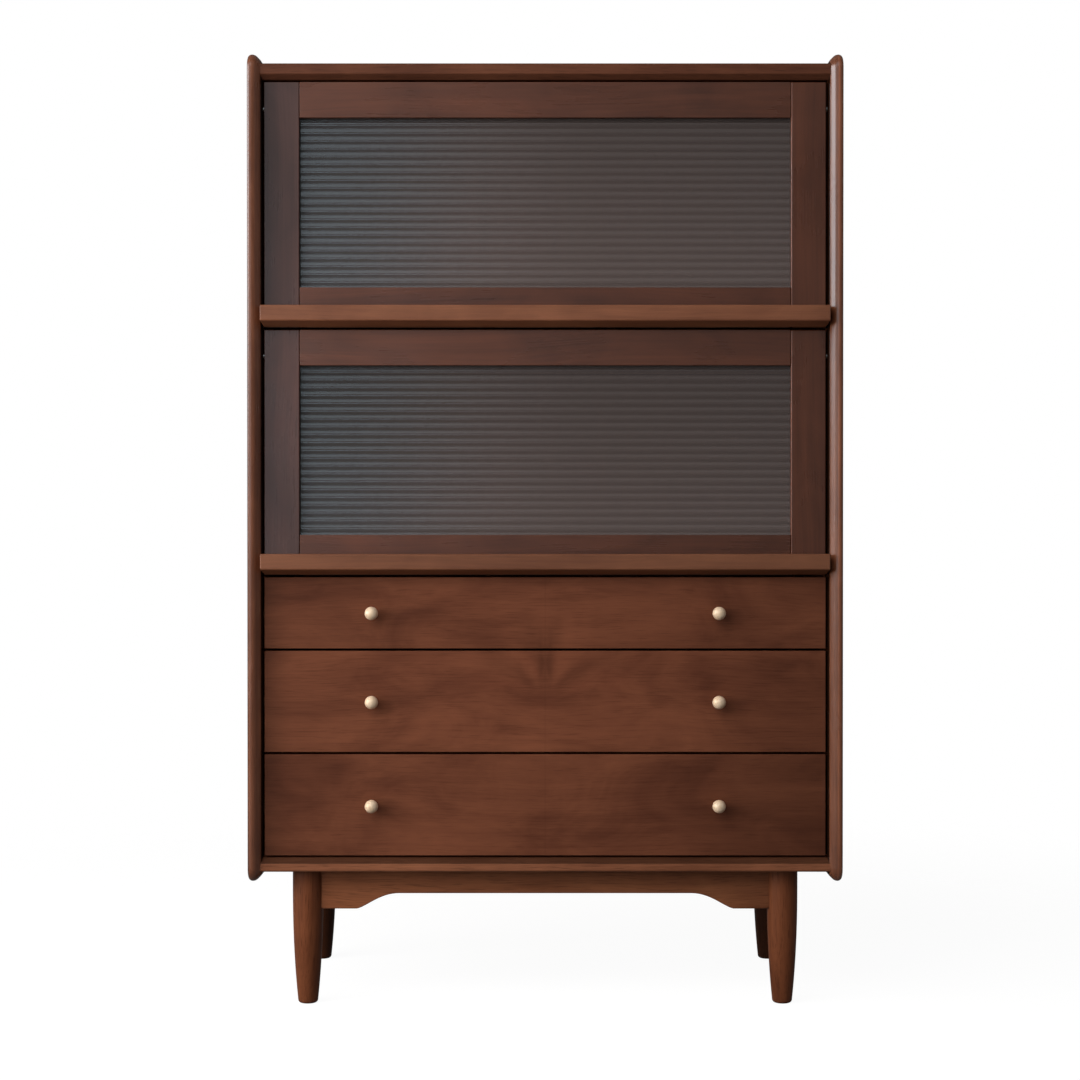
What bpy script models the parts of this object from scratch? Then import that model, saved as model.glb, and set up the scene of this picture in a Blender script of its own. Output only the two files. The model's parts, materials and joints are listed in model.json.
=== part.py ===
"""Glazed chest of drawers: two lift-up doors with fluted glass over three drawers, on turned legs.

Units are metres. +Z is up, the front faces -Y, and the origin is on the floor, midway between the
outermost points in X and in Y. Run it with: blender --background --python part.py
"""

import math

import bmesh
import bpy

# Whole piece
WIDTH = 0.800
DEPTH = 0.400
LEG_HEIGHT = 0.1845
SEAT_GAP = 0.0003

# Side panels
PANEL_THICKNESS = 0.020
PANEL_OVERHANG = 0.0135
PANEL_CORNER_RADIUS = 0.020
PANEL_OUTER_ROUNDING = 0.007
PANEL_INNER_BEVEL = 0.0105
PANEL_BEVEL_BULGE = 0.0008

# Boards, shelves and back, housed between the side panels
TOP_BOARD_THICKNESS = 0.0215
BOTTOM_BOARD_THICKNESS = 0.0185
BOARD_SETBACK = 0.0075
BOARD_BEVEL = 0.007
BOARD_ROUNDING = 0.003
BOARD_SHOULDER = 0.003
SHELF_THICKNESS = 0.018
SHELF_RISE = 0.001
HOUSING_DEPTH = 0.005
BACK_THICKNESS = 0.009
BACK_INSET = 0.009

# Doors and drawer fronts, stacked from the bottom board up
FRONT_SETBACK = 0.012
FRONT_GAP = 0.003
SIDE_GAP = 0.002
BOTTOM_DRAWER_HEIGHT = 0.1365
MIDDLE_DRAWER_HEIGHT = 0.1365
TOP_DRAWER_HEIGHT = 0.0963
DOOR_HEIGHT = 0.3298

# Door frame and glazing
DOOR_THICKNESS = 0.020
STILE_WIDTH = 0.0475
TOP_RAIL_HEIGHT = 0.048
BOTTOM_RAIL_HEIGHT = 0.054
TENON_LENGTH = 0.020
TENON_THICKNESS = 0.007
TENON_SHOULDER = 0.008
REBATE_WIDTH = 0.008
REBATE_FRONT_LIP = 0.008
GLASS_THICKNESS = 0.005
FLUTE_PITCH = 0.0104
FLUTE_DEPTH = 0.0012
BEAD_SETBACK = 0.0005
BEAD_SIGHT_LINE = 0.001

# Finger pull along the lower edge of a door
PULL_HEIGHT = 0.0285
PULL_PROJECTION = 0.022
PULL_UNDERCUT = 0.0075
PULL_OVERLAP = 0.0035

# Door pivots: a stud in the stile on a bar that runs in a groove of the side panel
PIVOT_DROP = 0.0345
PIVOT_RADIUS = 0.003
PIVOT_DEPTH_IN_STILE = 0.018
PIVOT_BAR_LENGTH = 0.040
GROOVE_DEPTH = 0.008
DOOR_TRAVEL = 0.240

# Drawer boxes on wooden runners
DRAWER_FRONT_THICKNESS = 0.020
DRAWER_CLEARANCE = 0.003
DRAWER_REAR_CLEARANCE = 0.009
DRAWER_SIDE_THICKNESS = 0.014
DRAWER_BACK_THICKNESS = 0.012
DRAWER_BOTTOM_THICKNESS = 0.004
DRAWER_BOTTOM_RISE = 0.008
DRAWER_BOTTOM_HOLD = 0.005
BOX_RISE = 0.012
BOX_DROP = 0.020
BACK_DROP = 0.006
RUNNER_HEIGHT = 0.016
RUNNER_HOLD = 0.008
RUNNER_FRONT_GAP = 0.002

# Knobs, each one solid with the screw that holds it from inside
KNOB_OFFSET = 0.233
KNOB_RADIUS = 0.0095
KNOB_PROJECTION = 0.024
KNOB_BASE_RADIUS = 0.0065
KNOB_BASE_HEIGHT = 0.002
KNOB_NECK_RADIUS = 0.0042
SCREW_RADIUS = 0.002
SCREW_HEAD_RADIUS = 0.0045
SCREW_HEAD_HEIGHT = 0.0025

# Legs and aprons
FRONT_LEG_INSET = 0.0765
REAR_LEG_INSET = 0.0655
LEG_SETBACK = 0.050
LEG_RADIUS = 0.0208
LEG_FOOT_RADIUS = 0.0136
LEG_STRAIGHT = 0.020
LEG_TAPER_POWER = 2.3
LEG_FOOT_ROUNDING = 0.0045
SPIGOT_RADIUS = 0.010
SPIGOT_LENGTH = 0.012
APRON_THICKNESS = 0.018
APRON_HEIGHT = 0.0553
ARCH_RISE = 0.021
ARCH_HALF_WIDTH = 0.2035
ARCH_SHOULDER = 0.057

# Fineness of curves
SHARP_ANGLE = math.radians(35)
CORNER_STEPS = 5
BEVEL_STEPS = 3
FLUTE_STEPS = 5
SHOULDER_STEPS = 8
TURNED_STEPS = 24
TAPER_STEPS = 7
KNOB_STEPS = 16
KNOB_ARC_STEPS = 6
BORE_STEPS = 16
CUT_MARGIN = 0.005
LEAST_RADIUS = 0.0005

SIDES = {"left": -1, "right": 1}

# Depth, measured back from the side panels' front plane
FRONT_OVERHANG = max(KNOB_PROJECTION, PULL_PROJECTION) - FRONT_SETBACK
FRONT_Y = (FRONT_OVERHANG - DEPTH) / 2
BACK_Y = FRONT_Y + DEPTH
FACE_Y = FRONT_Y + FRONT_SETBACK
DOOR_BACK_Y = FACE_Y + DOOR_THICKNESS
DRAWER_FRONT_BACK_Y = FACE_Y + DRAWER_FRONT_THICKNESS
BOARD_FRONT_Y = FRONT_Y + BOARD_SETBACK
BOARD_BACK_Y = BACK_Y - BOARD_SETBACK
BACK_PANEL_Y = BACK_Y - BACK_INSET - BACK_THICKNESS
BOX_BACK_Y = BACK_PANEL_Y - DRAWER_REAR_CLEARANCE
PIVOT_Y = FACE_Y + DOOR_THICKNESS / 2
REBATE_Y = FACE_Y + REBATE_FRONT_LIP

# Half widths
INNER_X = WIDTH / 2 - PANEL_THICKNESS
HOUSED_X = INNER_X + HOUSING_DEPTH - SEAT_GAP
FRONT_X = INNER_X - SIDE_GAP
OPENING_X = FRONT_X - STILE_WIDTH
BOX_X = INNER_X - DRAWER_CLEARANCE
BOX_INNER_X = BOX_X - DRAWER_SIDE_THICKNESS
LEG_X = {"front": WIDTH / 2 - FRONT_LEG_INSET, "rear": WIDTH / 2 - REAR_LEG_INSET}
LEG_Y = {"front": FRONT_Y + LEG_SETBACK, "rear": BACK_Y - LEG_SETBACK}

# Heights
FRONT_HEIGHTS = {
    "drawer_bottom": BOTTOM_DRAWER_HEIGHT,
    "drawer_middle": MIDDLE_DRAWER_HEIGHT,
    "drawer_top": TOP_DRAWER_HEIGHT,
    "lower_door": DOOR_HEIGHT,
    "upper_door": DOOR_HEIGHT,
}
DRAWERS = ("drawer_bottom", "drawer_middle", "drawer_top")
DOORS = {"lower_door": "shelf_lower", "upper_door": "shelf_upper"}


def stacked_fronts():
    """Lower and upper edge of every front, stacked with equal gaps from the bottom board up."""
    edges = {}
    level = LEG_HEIGHT + BOTTOM_BOARD_THICKNESS
    for name, height in FRONT_HEIGHTS.items():
        low = level + FRONT_GAP
        level = low + height
        edges[name] = (low, level)
    return edges


FRONTS = stacked_fronts()
BOTTOM_BOARD_Z = (LEG_HEIGHT, LEG_HEIGHT + BOTTOM_BOARD_THICKNESS)
TOP_BOARD_LOW = FRONTS["upper_door"][1] + FRONT_GAP
TOP_BOARD_Z = (TOP_BOARD_LOW, TOP_BOARD_LOW + TOP_BOARD_THICKNESS)
PANEL_Z = (BOTTOM_BOARD_Z[0] - PANEL_OVERHANG, TOP_BOARD_Z[1] + PANEL_OVERHANG)
BOARDS = {"top_board": TOP_BOARD_Z[::-1], "bottom_board": BOTTOM_BOARD_Z}


# Materials


def principled(name, colour, roughness, metallic=0.0, transmission=0.0):
    """A Principled BSDF material of one plain colour."""
    material = bpy.data.materials.new(name)
    material.use_nodes = True
    shader = material.node_tree.nodes["Principled BSDF"]
    shader.inputs["Base Color"].default_value = (*colour, 1.0)
    shader.inputs["Roughness"].default_value = roughness
    shader.inputs["Metallic"].default_value = metallic
    shader.inputs["Transmission Weight"].default_value = transmission
    material.diffuse_color = (*colour, 1.0)
    return material


def make_materials():
    """The finishes of the piece, by name."""
    return {
        "walnut": principled("walnut", (0.100, 0.036, 0.019), 0.42),
        "walnut_frame": principled("walnut_frame", (0.080, 0.032, 0.020), 0.42),
        "walnut_pull": principled("walnut_pull", (0.165, 0.066, 0.034), 0.40),
        "drawer_wood": principled("drawer_wood", (0.500, 0.360, 0.210), 0.55),
        "plywood": principled("plywood", (0.420, 0.290, 0.170), 0.60),
        "fluted_glass": principled("fluted_glass", (0.62, 0.64, 0.65), 0.06, transmission=0.9),
        "brass": principled("brass", (0.780, 0.600, 0.380), 0.28, metallic=1.0),
        "steel": principled("steel", (0.560, 0.560, 0.560), 0.30, metallic=1.0),
    }


# Shapes: each adds one closed solid to a bmesh


def placed(axis, along, u, v):
    """The point at a distance along one axis, with u and v on the other two in X, Y, Z order."""
    point = [u, v]
    point.insert("XYZ".index(axis), along)
    return tuple(point)


def add_loft(bm, rings, closed=False):
    """Skin rings of points in order, with a cap on each end or, if closed, back to the first."""
    loops = [[bm.verts.new(point) for point in ring] for ring in rings]
    pairs = list(zip(loops, loops[1:]))
    if closed:
        pairs.append((loops[-1], loops[0]))
    else:
        bm.faces.new(loops[0])
        bm.faces.new(loops[-1])
    for first, second in pairs:
        for k in range(len(first)):
            bm.faces.new((first[k - 1], first[k], second[k], second[k - 1]))


def add_prism(bm, axis, outline, start, end):
    """Extrude an outline of (u, v) points along an axis."""
    add_loft(bm, [[placed(axis, along, u, v) for u, v in outline] for along in (start, end)])


def add_box(bm, x, y, z):
    """A box between two values on each axis."""
    add_prism(bm, "X", rectangle(y, z), *x)


def add_turned(bm, axis, centre, profile, steps):
    """Turn a profile of (radius, distance along the axis) points about an axis through centre."""
    rings = []
    for radius, along in profile:
        circle = arc(centre, radius, 0.0, 2 * math.pi, steps)[:-1]
        rings.append([placed(axis, along, u, v) for u, v in circle])
    add_loft(bm, rings)


def add_cylinder(bm, axis, centre, radius, start, end):
    """A plain round bar."""
    add_turned(bm, axis, centre, [(radius, start), (radius, end)], BORE_STEPS)


# Outlines


def rectangle(u, v):
    """The four corners of a rectangle."""
    return [(u[0], v[0]), (u[1], v[0]), (u[1], v[1]), (u[0], v[1])]


def widened(span, by):
    """A span with both ends moved outwards."""
    return (span[0] - by, span[1] + by)


def mirrored(side, near, far):
    """A span in X on one side of the middle."""
    return (side * near, side * far)


def arc(centre, radius, start, end, steps):
    """Points on an arc, angles in radians."""
    angles = [start + (end - start) * k / steps for k in range(steps + 1)]
    return [(centre[0] + radius * math.cos(a), centre[1] + radius * math.sin(a)) for a in angles]


def rounded_rectangle(u, v, radius):
    """A rectangle with round corners."""
    quarter = math.pi / 2
    corners = [(u[1], v[1]), (u[0], v[1]), (u[0], v[0]), (u[1], v[0])]
    inwards = [(-1, -1), (1, -1), (1, 1), (-1, 1)]
    points = []
    for k, (corner, inward) in enumerate(zip(corners, inwards)):
        centre = (corner[0] + inward[0] * radius, corner[1] + inward[1] * radius)
        points += arc(centre, radius, k * quarter, (k + 1) * quarter, CORNER_STEPS)
    return points


def stadium(u, v, radius):
    """A slot outline whose round ends are centred on the two values of u."""
    quarter = math.pi / 2
    steps = BORE_STEPS // 2
    far_end = arc((u[1], v), radius, -quarter, quarter, steps)
    return far_end + arc((u[0], v), radius, quarter, 3 * quarter, steps)


def board_outline(outer_z, inner_z):
    """Section of the top or bottom board: its front is bevelled on the inner face, rounded on the outer."""
    inwards = math.copysign(1.0, inner_z - outer_z)
    centre = (BOARD_FRONT_Y + BOARD_ROUNDING, 0.0)
    rounding = arc(centre, BOARD_ROUNDING, 1.5 * math.pi, math.pi, BEVEL_STEPS)
    points = [(y, outer_z + inwards * (BOARD_ROUNDING + z)) for y, z in rounding]
    bevel = [(BOARD_FRONT_Y, inner_z - inwards * BOARD_BEVEL), (BOARD_FRONT_Y + BOARD_BEVEL, inner_z)]
    return points + bevel + [(BOARD_BACK_Y, inner_z), (BOARD_BACK_Y, outer_z)]


def housing_outline(outer_z, inner_z):
    """Section of the housing for a board's end, which is stepped at the outer face and the rear edge."""
    inwards = math.copysign(1.0, inner_z - outer_z)
    front = BOARD_FRONT_Y - SEAT_GAP
    back = BOARD_BACK_Y - BOARD_SHOULDER + SEAT_GAP
    outer = outer_z + inwards * (BOARD_SHOULDER - SEAT_GAP)
    inner = inner_z + inwards * SEAT_GAP
    bevel = [(front, inner - inwards * BOARD_BEVEL), (front + BOARD_BEVEL, inner)]
    return [(front, outer)] + bevel + [(back, inner), (back, outer)]


def shoulder_outline(outer_z, inner_z):
    """Section of what a board's end loses, so that its outer and rear faces stop at the side panel."""
    inwards = math.copysign(1.0, inner_z - outer_z)
    past_outer = outer_z - inwards * CUT_MARGIN
    past_inner = inner_z + inwards * CUT_MARGIN
    step_y = BOARD_BACK_Y - BOARD_SHOULDER
    step_z = outer_z + inwards * BOARD_SHOULDER
    front = BOARD_FRONT_Y - CUT_MARGIN
    back = BOARD_BACK_Y + CUT_MARGIN
    outside = [(front, past_outer), (back, past_outer), (back, past_inner)]
    return outside + [(step_y, past_inner), (step_y, step_z), (front, step_z)]


# Objects


def link(name, bm):
    """Put a bmesh into the scene as a smooth-shaded object with its faces pointing out."""
    bmesh.ops.recalc_face_normals(bm, faces=bm.faces)
    mesh = bpy.data.meshes.new(name)
    bm.to_mesh(mesh)
    bm.free()
    mesh.shade_smooth()
    mesh.set_sharp_from_angle(angle=SHARP_ANGLE)
    obj = bpy.data.objects.new(name, mesh)
    bpy.context.scene.collection.objects.link(obj)
    return obj


def make_piece(name, bm, material, parent):
    """A named piece, carried by the empty of the body that it moves with."""
    piece = link(name, bm)
    piece.data.materials.append(material)
    piece.parent = parent
    piece.matrix_parent_inverse = parent.matrix_world.inverted()
    return piece


def combine(piece, operation, bm):
    """Cut a tool out of a piece, or join it on."""
    tool = link(f"{piece.name}_{operation.lower()}", bm)
    tool.hide_render = True
    tool.display_type = "WIRE"
    modifier = piece.modifiers.new(operation.title(), "BOOLEAN")
    modifier.operation = operation
    modifier.solver = "EXACT"
    modifier.object = tool


def make_empty(name, location):
    """The carrier of one body, with its origin on the body's joint axis."""
    empty = bpy.data.objects.new(name, None)
    empty.location = location
    bpy.context.scene.collection.objects.link(empty)
    bpy.context.view_layer.update()
    return empty


# Carcass


def panel_edge():
    """Section of a panel's edge as (distance from the inner face, inset from the outline) points."""
    bevel = min(PANEL_INNER_BEVEL, PANEL_THICKNESS - PANEL_OUTER_ROUNDING - LEAST_RADIUS)
    points = []
    for k in range(BEVEL_STEPS + 1):
        share = k / BEVEL_STEPS
        bulge = PANEL_BEVEL_BULGE * math.sin(math.pi * share)
        points.append((bevel * share - bulge, bevel * (1 - share) - bulge))
    points[0] = (0.0, bevel)
    centre = (PANEL_THICKNESS - PANEL_OUTER_ROUNDING, PANEL_OUTER_ROUNDING)
    return points + arc(centre, PANEL_OUTER_ROUNDING, -math.pi / 2, 0.0, BEVEL_STEPS)


def pivot_z(door):
    """Height of a door's pivot axis."""
    return FRONTS[door][1] - PIVOT_DROP


def shelf_span(door):
    """Underside and top of the shelf that a door closes against."""
    low = FRONTS[door][0] + SHELF_RISE
    return (low, low + SHELF_THICKNESS)


def build_panel(name, side, material, parent):
    """A side panel with housings for the boards and shelves and grooves for the door pivots."""
    bm = bmesh.new()
    rings = []
    for depth, inset in panel_edge():
        radius = max(PANEL_CORNER_RADIUS - inset, LEAST_RADIUS)
        outline = rounded_rectangle(widened((FRONT_Y, BACK_Y), -inset), widened(PANEL_Z, -inset), radius)
        rings.append([(side * (INNER_X + depth), y, z) for y, z in outline])
    add_loft(bm, rings)
    panel = make_piece(name, bm, material, parent)

    cuts = bmesh.new()
    housing = mirrored(side, INNER_X - CUT_MARGIN, INNER_X + HOUSING_DEPTH)
    for outer_z, inner_z in BOARDS.values():
        add_prism(cuts, "X", housing_outline(outer_z, inner_z), *housing)
    groove = mirrored(side, INNER_X - CUT_MARGIN, INNER_X + GROOVE_DEPTH)
    reach = (PIVOT_Y, PIVOT_Y + DOOR_TRAVEL + PIVOT_BAR_LENGTH)
    for door in DOORS:
        depth = widened((DOOR_BACK_Y + SEAT_GAP, BACK_PANEL_Y - SEAT_GAP), SEAT_GAP)
        add_box(cuts, housing, depth, widened(shelf_span(door), SEAT_GAP))
        add_prism(cuts, "X", stadium(reach, pivot_z(door), PIVOT_RADIUS + SEAT_GAP), *groove)
    combine(panel, "DIFFERENCE", cuts)


def leg_centre(end, side):
    """Where a leg's upright axis stands, seen from above."""
    return (side * LEG_X[end], LEG_Y[end])


def add_spigot_holes(cuts):
    """Blind holes in the underside of the bottom board for the legs' spigots."""
    top = LEG_HEIGHT + SPIGOT_LENGTH + SEAT_GAP
    for end in LEG_Y:
        for side in SIDES.values():
            centre = leg_centre(end, side)
            add_cylinder(cuts, "Z", centre, SPIGOT_RADIUS + SEAT_GAP, LEG_HEIGHT - CUT_MARGIN, top)


def build_board(name, outer_z, inner_z, material, parent):
    """The top or bottom board, its stepped ends housed in the side panels."""
    bm = bmesh.new()
    add_prism(bm, "X", board_outline(outer_z, inner_z), -HOUSED_X, HOUSED_X)
    board = make_piece(name, bm, material, parent)
    cuts = bmesh.new()
    for side in SIDES.values():
        end = mirrored(side, INNER_X - SEAT_GAP, HOUSED_X + CUT_MARGIN)
        add_prism(cuts, "X", shoulder_outline(outer_z, inner_z), *end)
    if name == "bottom_board":
        add_spigot_holes(cuts)
    combine(board, "DIFFERENCE", cuts)


def build_carcass(materials, parent):
    """Side panels, boards, shelves and back."""
    walnut = materials["walnut"]
    for name, side in SIDES.items():
        build_panel(f"side_panel_{name}", side, walnut, parent)
    for name, (outer_z, inner_z) in BOARDS.items():
        build_board(name, outer_z, inner_z, walnut, parent)
    for door, shelf in DOORS.items():
        bm = bmesh.new()
        depth = (DOOR_BACK_Y + SEAT_GAP, BACK_PANEL_Y - SEAT_GAP)
        add_box(bm, (-HOUSED_X, HOUSED_X), depth, shelf_span(door))
        make_piece(shelf, bm, walnut, parent)
    bm = bmesh.new()
    height = (BOTTOM_BOARD_Z[1] + SEAT_GAP, TOP_BOARD_Z[0] - SEAT_GAP)
    width = (SEAT_GAP - INNER_X, INNER_X - SEAT_GAP)
    add_box(bm, width, (BACK_PANEL_Y, BACK_PANEL_Y + BACK_THICKNESS), height)
    make_piece("back_panel", bm, materials["plywood"], parent)


# Base


def leg_profile():
    """Outline of a turned leg, from its foot up to the end of its spigot."""
    top = LEG_HEIGHT - SEAT_GAP
    taper_top = top - LEG_STRAIGHT
    lowest_radius = LEG_FOOT_RADIUS - LEG_FOOT_ROUNDING
    foot = arc((lowest_radius, LEG_FOOT_ROUNDING), LEG_FOOT_ROUNDING, -math.pi / 2, 0.0, BEVEL_STEPS)
    taper = []
    for k in range(1, TAPER_STEPS + 1):
        z = LEG_FOOT_ROUNDING + (taper_top - LEG_FOOT_ROUNDING) * k / TAPER_STEPS
        share = (taper_top - z) / (taper_top - LEG_FOOT_ROUNDING)
        taper.append((LEG_RADIUS - (LEG_RADIUS - LEG_FOOT_RADIUS) * share**LEG_TAPER_POWER, z))
    spigot = [(SPIGOT_RADIUS, top), (SPIGOT_RADIUS, LEG_HEIGHT + SPIGOT_LENGTH)]
    return foot + taper + [(LEG_RADIUS, top)] + spigot


def arch_outline(low, high):
    """Lower edge of the front apron: an ear at each leg and a shallow arch between, joined by S-curves."""
    right = []
    for k in range(SHOULDER_STEPS + 1):
        share = k / SHOULDER_STEPS
        rise = ARCH_RISE * (1 + math.cos(math.pi * share)) / 2
        right.append((ARCH_HALF_WIDTH + ARCH_SHOULDER * share, low + rise))
    left = [(-x, z) for x, z in reversed(right)]
    end = LEG_X["front"]
    return [(-end, low)] + left + right + [(end, low), (end, high), (-end, high)]


def build_apron(name, axis, outline, middle, ends, material, parent):
    """An apron between two legs, its ends hollowed to fit round them."""
    bm = bmesh.new()
    add_prism(bm, axis, outline, middle - APRON_THICKNESS / 2, middle + APRON_THICKNESS / 2)
    apron = make_piece(name, bm, material, parent)
    cuts = bmesh.new()
    reach = widened((LEG_HEIGHT - APRON_HEIGHT, LEG_HEIGHT), CUT_MARGIN)
    for centre in ends:
        add_turned(cuts, "Z", centre, [(LEG_RADIUS + SEAT_GAP, z) for z in reach], TURNED_STEPS)
    combine(apron, "DIFFERENCE", cuts)


def build_base(materials, parent):
    """Four turned legs and the aprons between them."""
    walnut = materials["walnut"]
    for end in LEG_Y:
        for name, side in SIDES.items():
            bm = bmesh.new()
            add_turned(bm, "Z", leg_centre(end, side), leg_profile(), TURNED_STEPS)
            make_piece(f"leg_{end}_{name}", bm, walnut, parent)
    high = LEG_HEIGHT - SEAT_GAP
    low = LEG_HEIGHT - APRON_HEIGHT
    rear_outline = rectangle((-LEG_X["rear"], LEG_X["rear"]), (low, high))
    outlines = {"front": arch_outline(low, high), "rear": rear_outline}
    for end, y in LEG_Y.items():
        ends = [leg_centre(end, side) for side in SIDES.values()]
        build_apron(f"apron_{end}", "Y", outlines[end], y, ends, walnut, parent)
    for name, side in SIDES.items():
        x = side * (LEG_X["front"] + LEG_X["rear"]) / 2
        ends = [leg_centre(end, side) for end in LEG_Y]
        outline = rectangle((LEG_Y["front"], LEG_Y["rear"]), (low, high))
        build_apron(f"apron_{name}", "X", outline, x, ends, walnut, parent)


# Doors


def opening_span(door):
    """Lower and upper edge of a door's glazed opening."""
    low, high = FRONTS[door]
    return (low + BOTTOM_RAIL_HEIGHT, high - TOP_RAIL_HEIGHT)


def tenon_spans(door):
    """Heights of the tenons on the bottom and the top rail."""
    low, high = FRONTS[door]
    opening = widened(opening_span(door), REBATE_WIDTH + TENON_SHOULDER)
    return {"bottom": (low + TENON_SHOULDER, opening[0]), "top": (opening[1], high - TENON_SHOULDER)}


TENON_Y = (PIVOT_Y - TENON_THICKNESS / 2, PIVOT_Y + TENON_THICKNESS / 2)


def build_stile(door, name, side, material, parent):
    """An upright of the frame, with mortises, a stopped rebate for the pane and a bore for the pivot."""
    bm = bmesh.new()
    add_box(bm, mirrored(side, OPENING_X, FRONT_X), (FACE_Y, DOOR_BACK_Y), FRONTS[door])
    stile = make_piece(f"{door}_stile_{name}", bm, material, parent)
    cuts = bmesh.new()
    rebate = widened(opening_span(door), REBATE_WIDTH)
    across = mirrored(side, OPENING_X - CUT_MARGIN, OPENING_X + REBATE_WIDTH)
    add_box(cuts, across, (REBATE_Y, DOOR_BACK_Y + CUT_MARGIN), rebate)
    mortise = mirrored(side, OPENING_X - CUT_MARGIN, OPENING_X + TENON_LENGTH + SEAT_GAP)
    for span in tenon_spans(door).values():
        add_box(cuts, mortise, widened(TENON_Y, SEAT_GAP), widened(span, SEAT_GAP))
    bore = mirrored(side, FRONT_X - PIVOT_DEPTH_IN_STILE, FRONT_X + CUT_MARGIN)
    add_cylinder(cuts, "X", (PIVOT_Y, pivot_z(door)), PIVOT_RADIUS + SEAT_GAP, *bore)
    combine(stile, "DIFFERENCE", cuts)


def build_rail(door, name, outer_z, inner_z, material, parent):
    """A cross-piece of the frame, rebated for the pane, with a tenon on each end."""
    outwards = math.copysign(1.0, outer_z - inner_z)
    step = inner_z + outwards * REBATE_WIDTH
    outline = [
        (FACE_Y, inner_z),
        (REBATE_Y, inner_z),
        (REBATE_Y, step),
        (DOOR_BACK_Y, step),
        (DOOR_BACK_Y, outer_z),
        (FACE_Y, outer_z),
    ]
    shoulder = OPENING_X - SEAT_GAP
    bm = bmesh.new()
    add_prism(bm, "X", outline, -shoulder, shoulder)
    rail = make_piece(f"{door}_rail_{name}", bm, material, parent)
    tenons = bmesh.new()
    for side in SIDES.values():
        reach = mirrored(side, shoulder - CUT_MARGIN, OPENING_X + TENON_LENGTH)
        add_box(tenons, reach, TENON_Y, tenon_spans(door)[name])
    combine(rail, "UNION", tenons)


def fluted_outline(y, z):
    """Section of the pane: convex flutes one over the other on the front, flat behind."""
    count = max(1, round((z[1] - z[0]) / FLUTE_PITCH))
    pitch = (z[1] - z[0]) / count
    points = []
    for k in range(count * FLUTE_STEPS + 1):
        share = k / FLUTE_STEPS
        swell = FLUTE_DEPTH * abs(math.sin(math.pi * share))
        points.append((y[0] + FLUTE_DEPTH - swell, z[0] + pitch * share))
    return points + [(y[1], z[1]), (y[1], z[0])]


def build_glazing(door, materials, parent):
    """The fluted pane in its rebate and the bead frame that holds it there."""
    seat_x = OPENING_X + REBATE_WIDTH - SEAT_GAP
    seat_z = widened(opening_span(door), REBATE_WIDTH - SEAT_GAP)
    glass_y = (REBATE_Y + SEAT_GAP, REBATE_Y + SEAT_GAP + GLASS_THICKNESS)
    bm = bmesh.new()
    add_prism(bm, "X", fluted_outline(glass_y, seat_z), -seat_x, seat_x)
    make_piece(f"{door}_glass", bm, materials["fluted_glass"], parent)

    sight_x = OPENING_X + BEAD_SIGHT_LINE
    sight_z = widened(opening_span(door), BEAD_SIGHT_LINE)
    outer = rectangle((-seat_x, seat_x), seat_z)
    inner = rectangle((-sight_x, sight_x), sight_z)
    front = glass_y[1] + SEAT_GAP
    back = DOOR_BACK_Y - BEAD_SETBACK
    loops = [(outer, front), (inner, front), (inner, back), (outer, back)]
    bm = bmesh.new()
    add_loft(bm, [[placed("Y", y, x, z) for x, z in outline] for outline, y in loops], closed=True)
    make_piece(f"{door}_glazing_bead", bm, materials["walnut_frame"], parent)


def build_pull(door, material, parent):
    """The finger pull across the door's lower edge: upright front, sloping underside, splayed ends."""
    low = FRONTS[door][0]
    high = low + PULL_HEIGHT
    front = FACE_Y - PULL_PROJECTION
    back = FACE_Y - SEAT_GAP
    outline = [(front, high), (back, high), (back, low), (front, low + PULL_UNDERCUT)]
    half_width = {front: FRONT_X + PULL_OVERLAP, back: FRONT_X - SEAT_GAP}
    bm = bmesh.new()
    add_loft(bm, [[(side * half_width[y], y, z) for y, z in outline] for side in SIDES.values()])
    make_piece(f"{door}_pull", bm, material, parent)


def build_pivot(door, name, side, material, parent):
    """A pivot: a bar that runs in the panel's groove, with a stud that the stile turns on."""
    z = pivot_z(door)
    bm = bmesh.new()
    bar = mirrored(side, INNER_X, INNER_X + GROOVE_DEPTH - SEAT_GAP)
    add_prism(bm, "X", stadium((PIVOT_Y, PIVOT_Y + PIVOT_BAR_LENGTH), z, PIVOT_RADIUS), *bar)
    pivot = make_piece(f"{door}_pivot_{name}", bm, material, parent)
    stud = bmesh.new()
    reach = mirrored(side, FRONT_X - PIVOT_DEPTH_IN_STILE + SEAT_GAP, INNER_X + GROOVE_DEPTH / 2)
    add_cylinder(stud, "X", (PIVOT_Y, z), PIVOT_RADIUS - SEAT_GAP / 2, *reach)
    combine(pivot, "UNION", stud)


def build_door(door, materials):
    """A lift-up door: frame, pull, pane and bead on the hinge axis, with its two running pivots."""
    frame = materials["walnut_frame"]
    axis = (0.0, PIVOT_Y, pivot_z(door))
    carriage = make_empty(f"{door}_carriage", axis)
    leaf = make_empty(f"{door}_leaf", axis)
    low, high = FRONTS[door]
    opening = opening_span(door)
    for name, side in SIDES.items():
        build_stile(door, name, side, frame, leaf)
        build_pivot(door, name, side, materials["steel"], carriage)
    build_rail(door, "bottom", low, opening[0], frame, leaf)
    build_rail(door, "top", high, opening[1], frame, leaf)
    build_pull(door, materials["walnut_pull"], leaf)
    build_glazing(door, materials, leaf)


# Drawers


def box_span(drawer):
    """Lower and upper edge of a drawer's sides."""
    low, high = FRONTS[drawer]
    return (low + BOX_RISE, high - BOX_DROP)


def bottom_span(drawer):
    """Underside and top of a drawer's bottom panel."""
    low = box_span(drawer)[0] + DRAWER_BOTTOM_RISE
    return (low, low + DRAWER_BOTTOM_THICKNESS)


def runner_span(drawer):
    """Lower and upper edge of a drawer's runners, halfway up its sides."""
    middle = sum(box_span(drawer)) / 2
    return (middle - RUNNER_HEIGHT / 2, middle + RUNNER_HEIGHT / 2)


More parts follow.
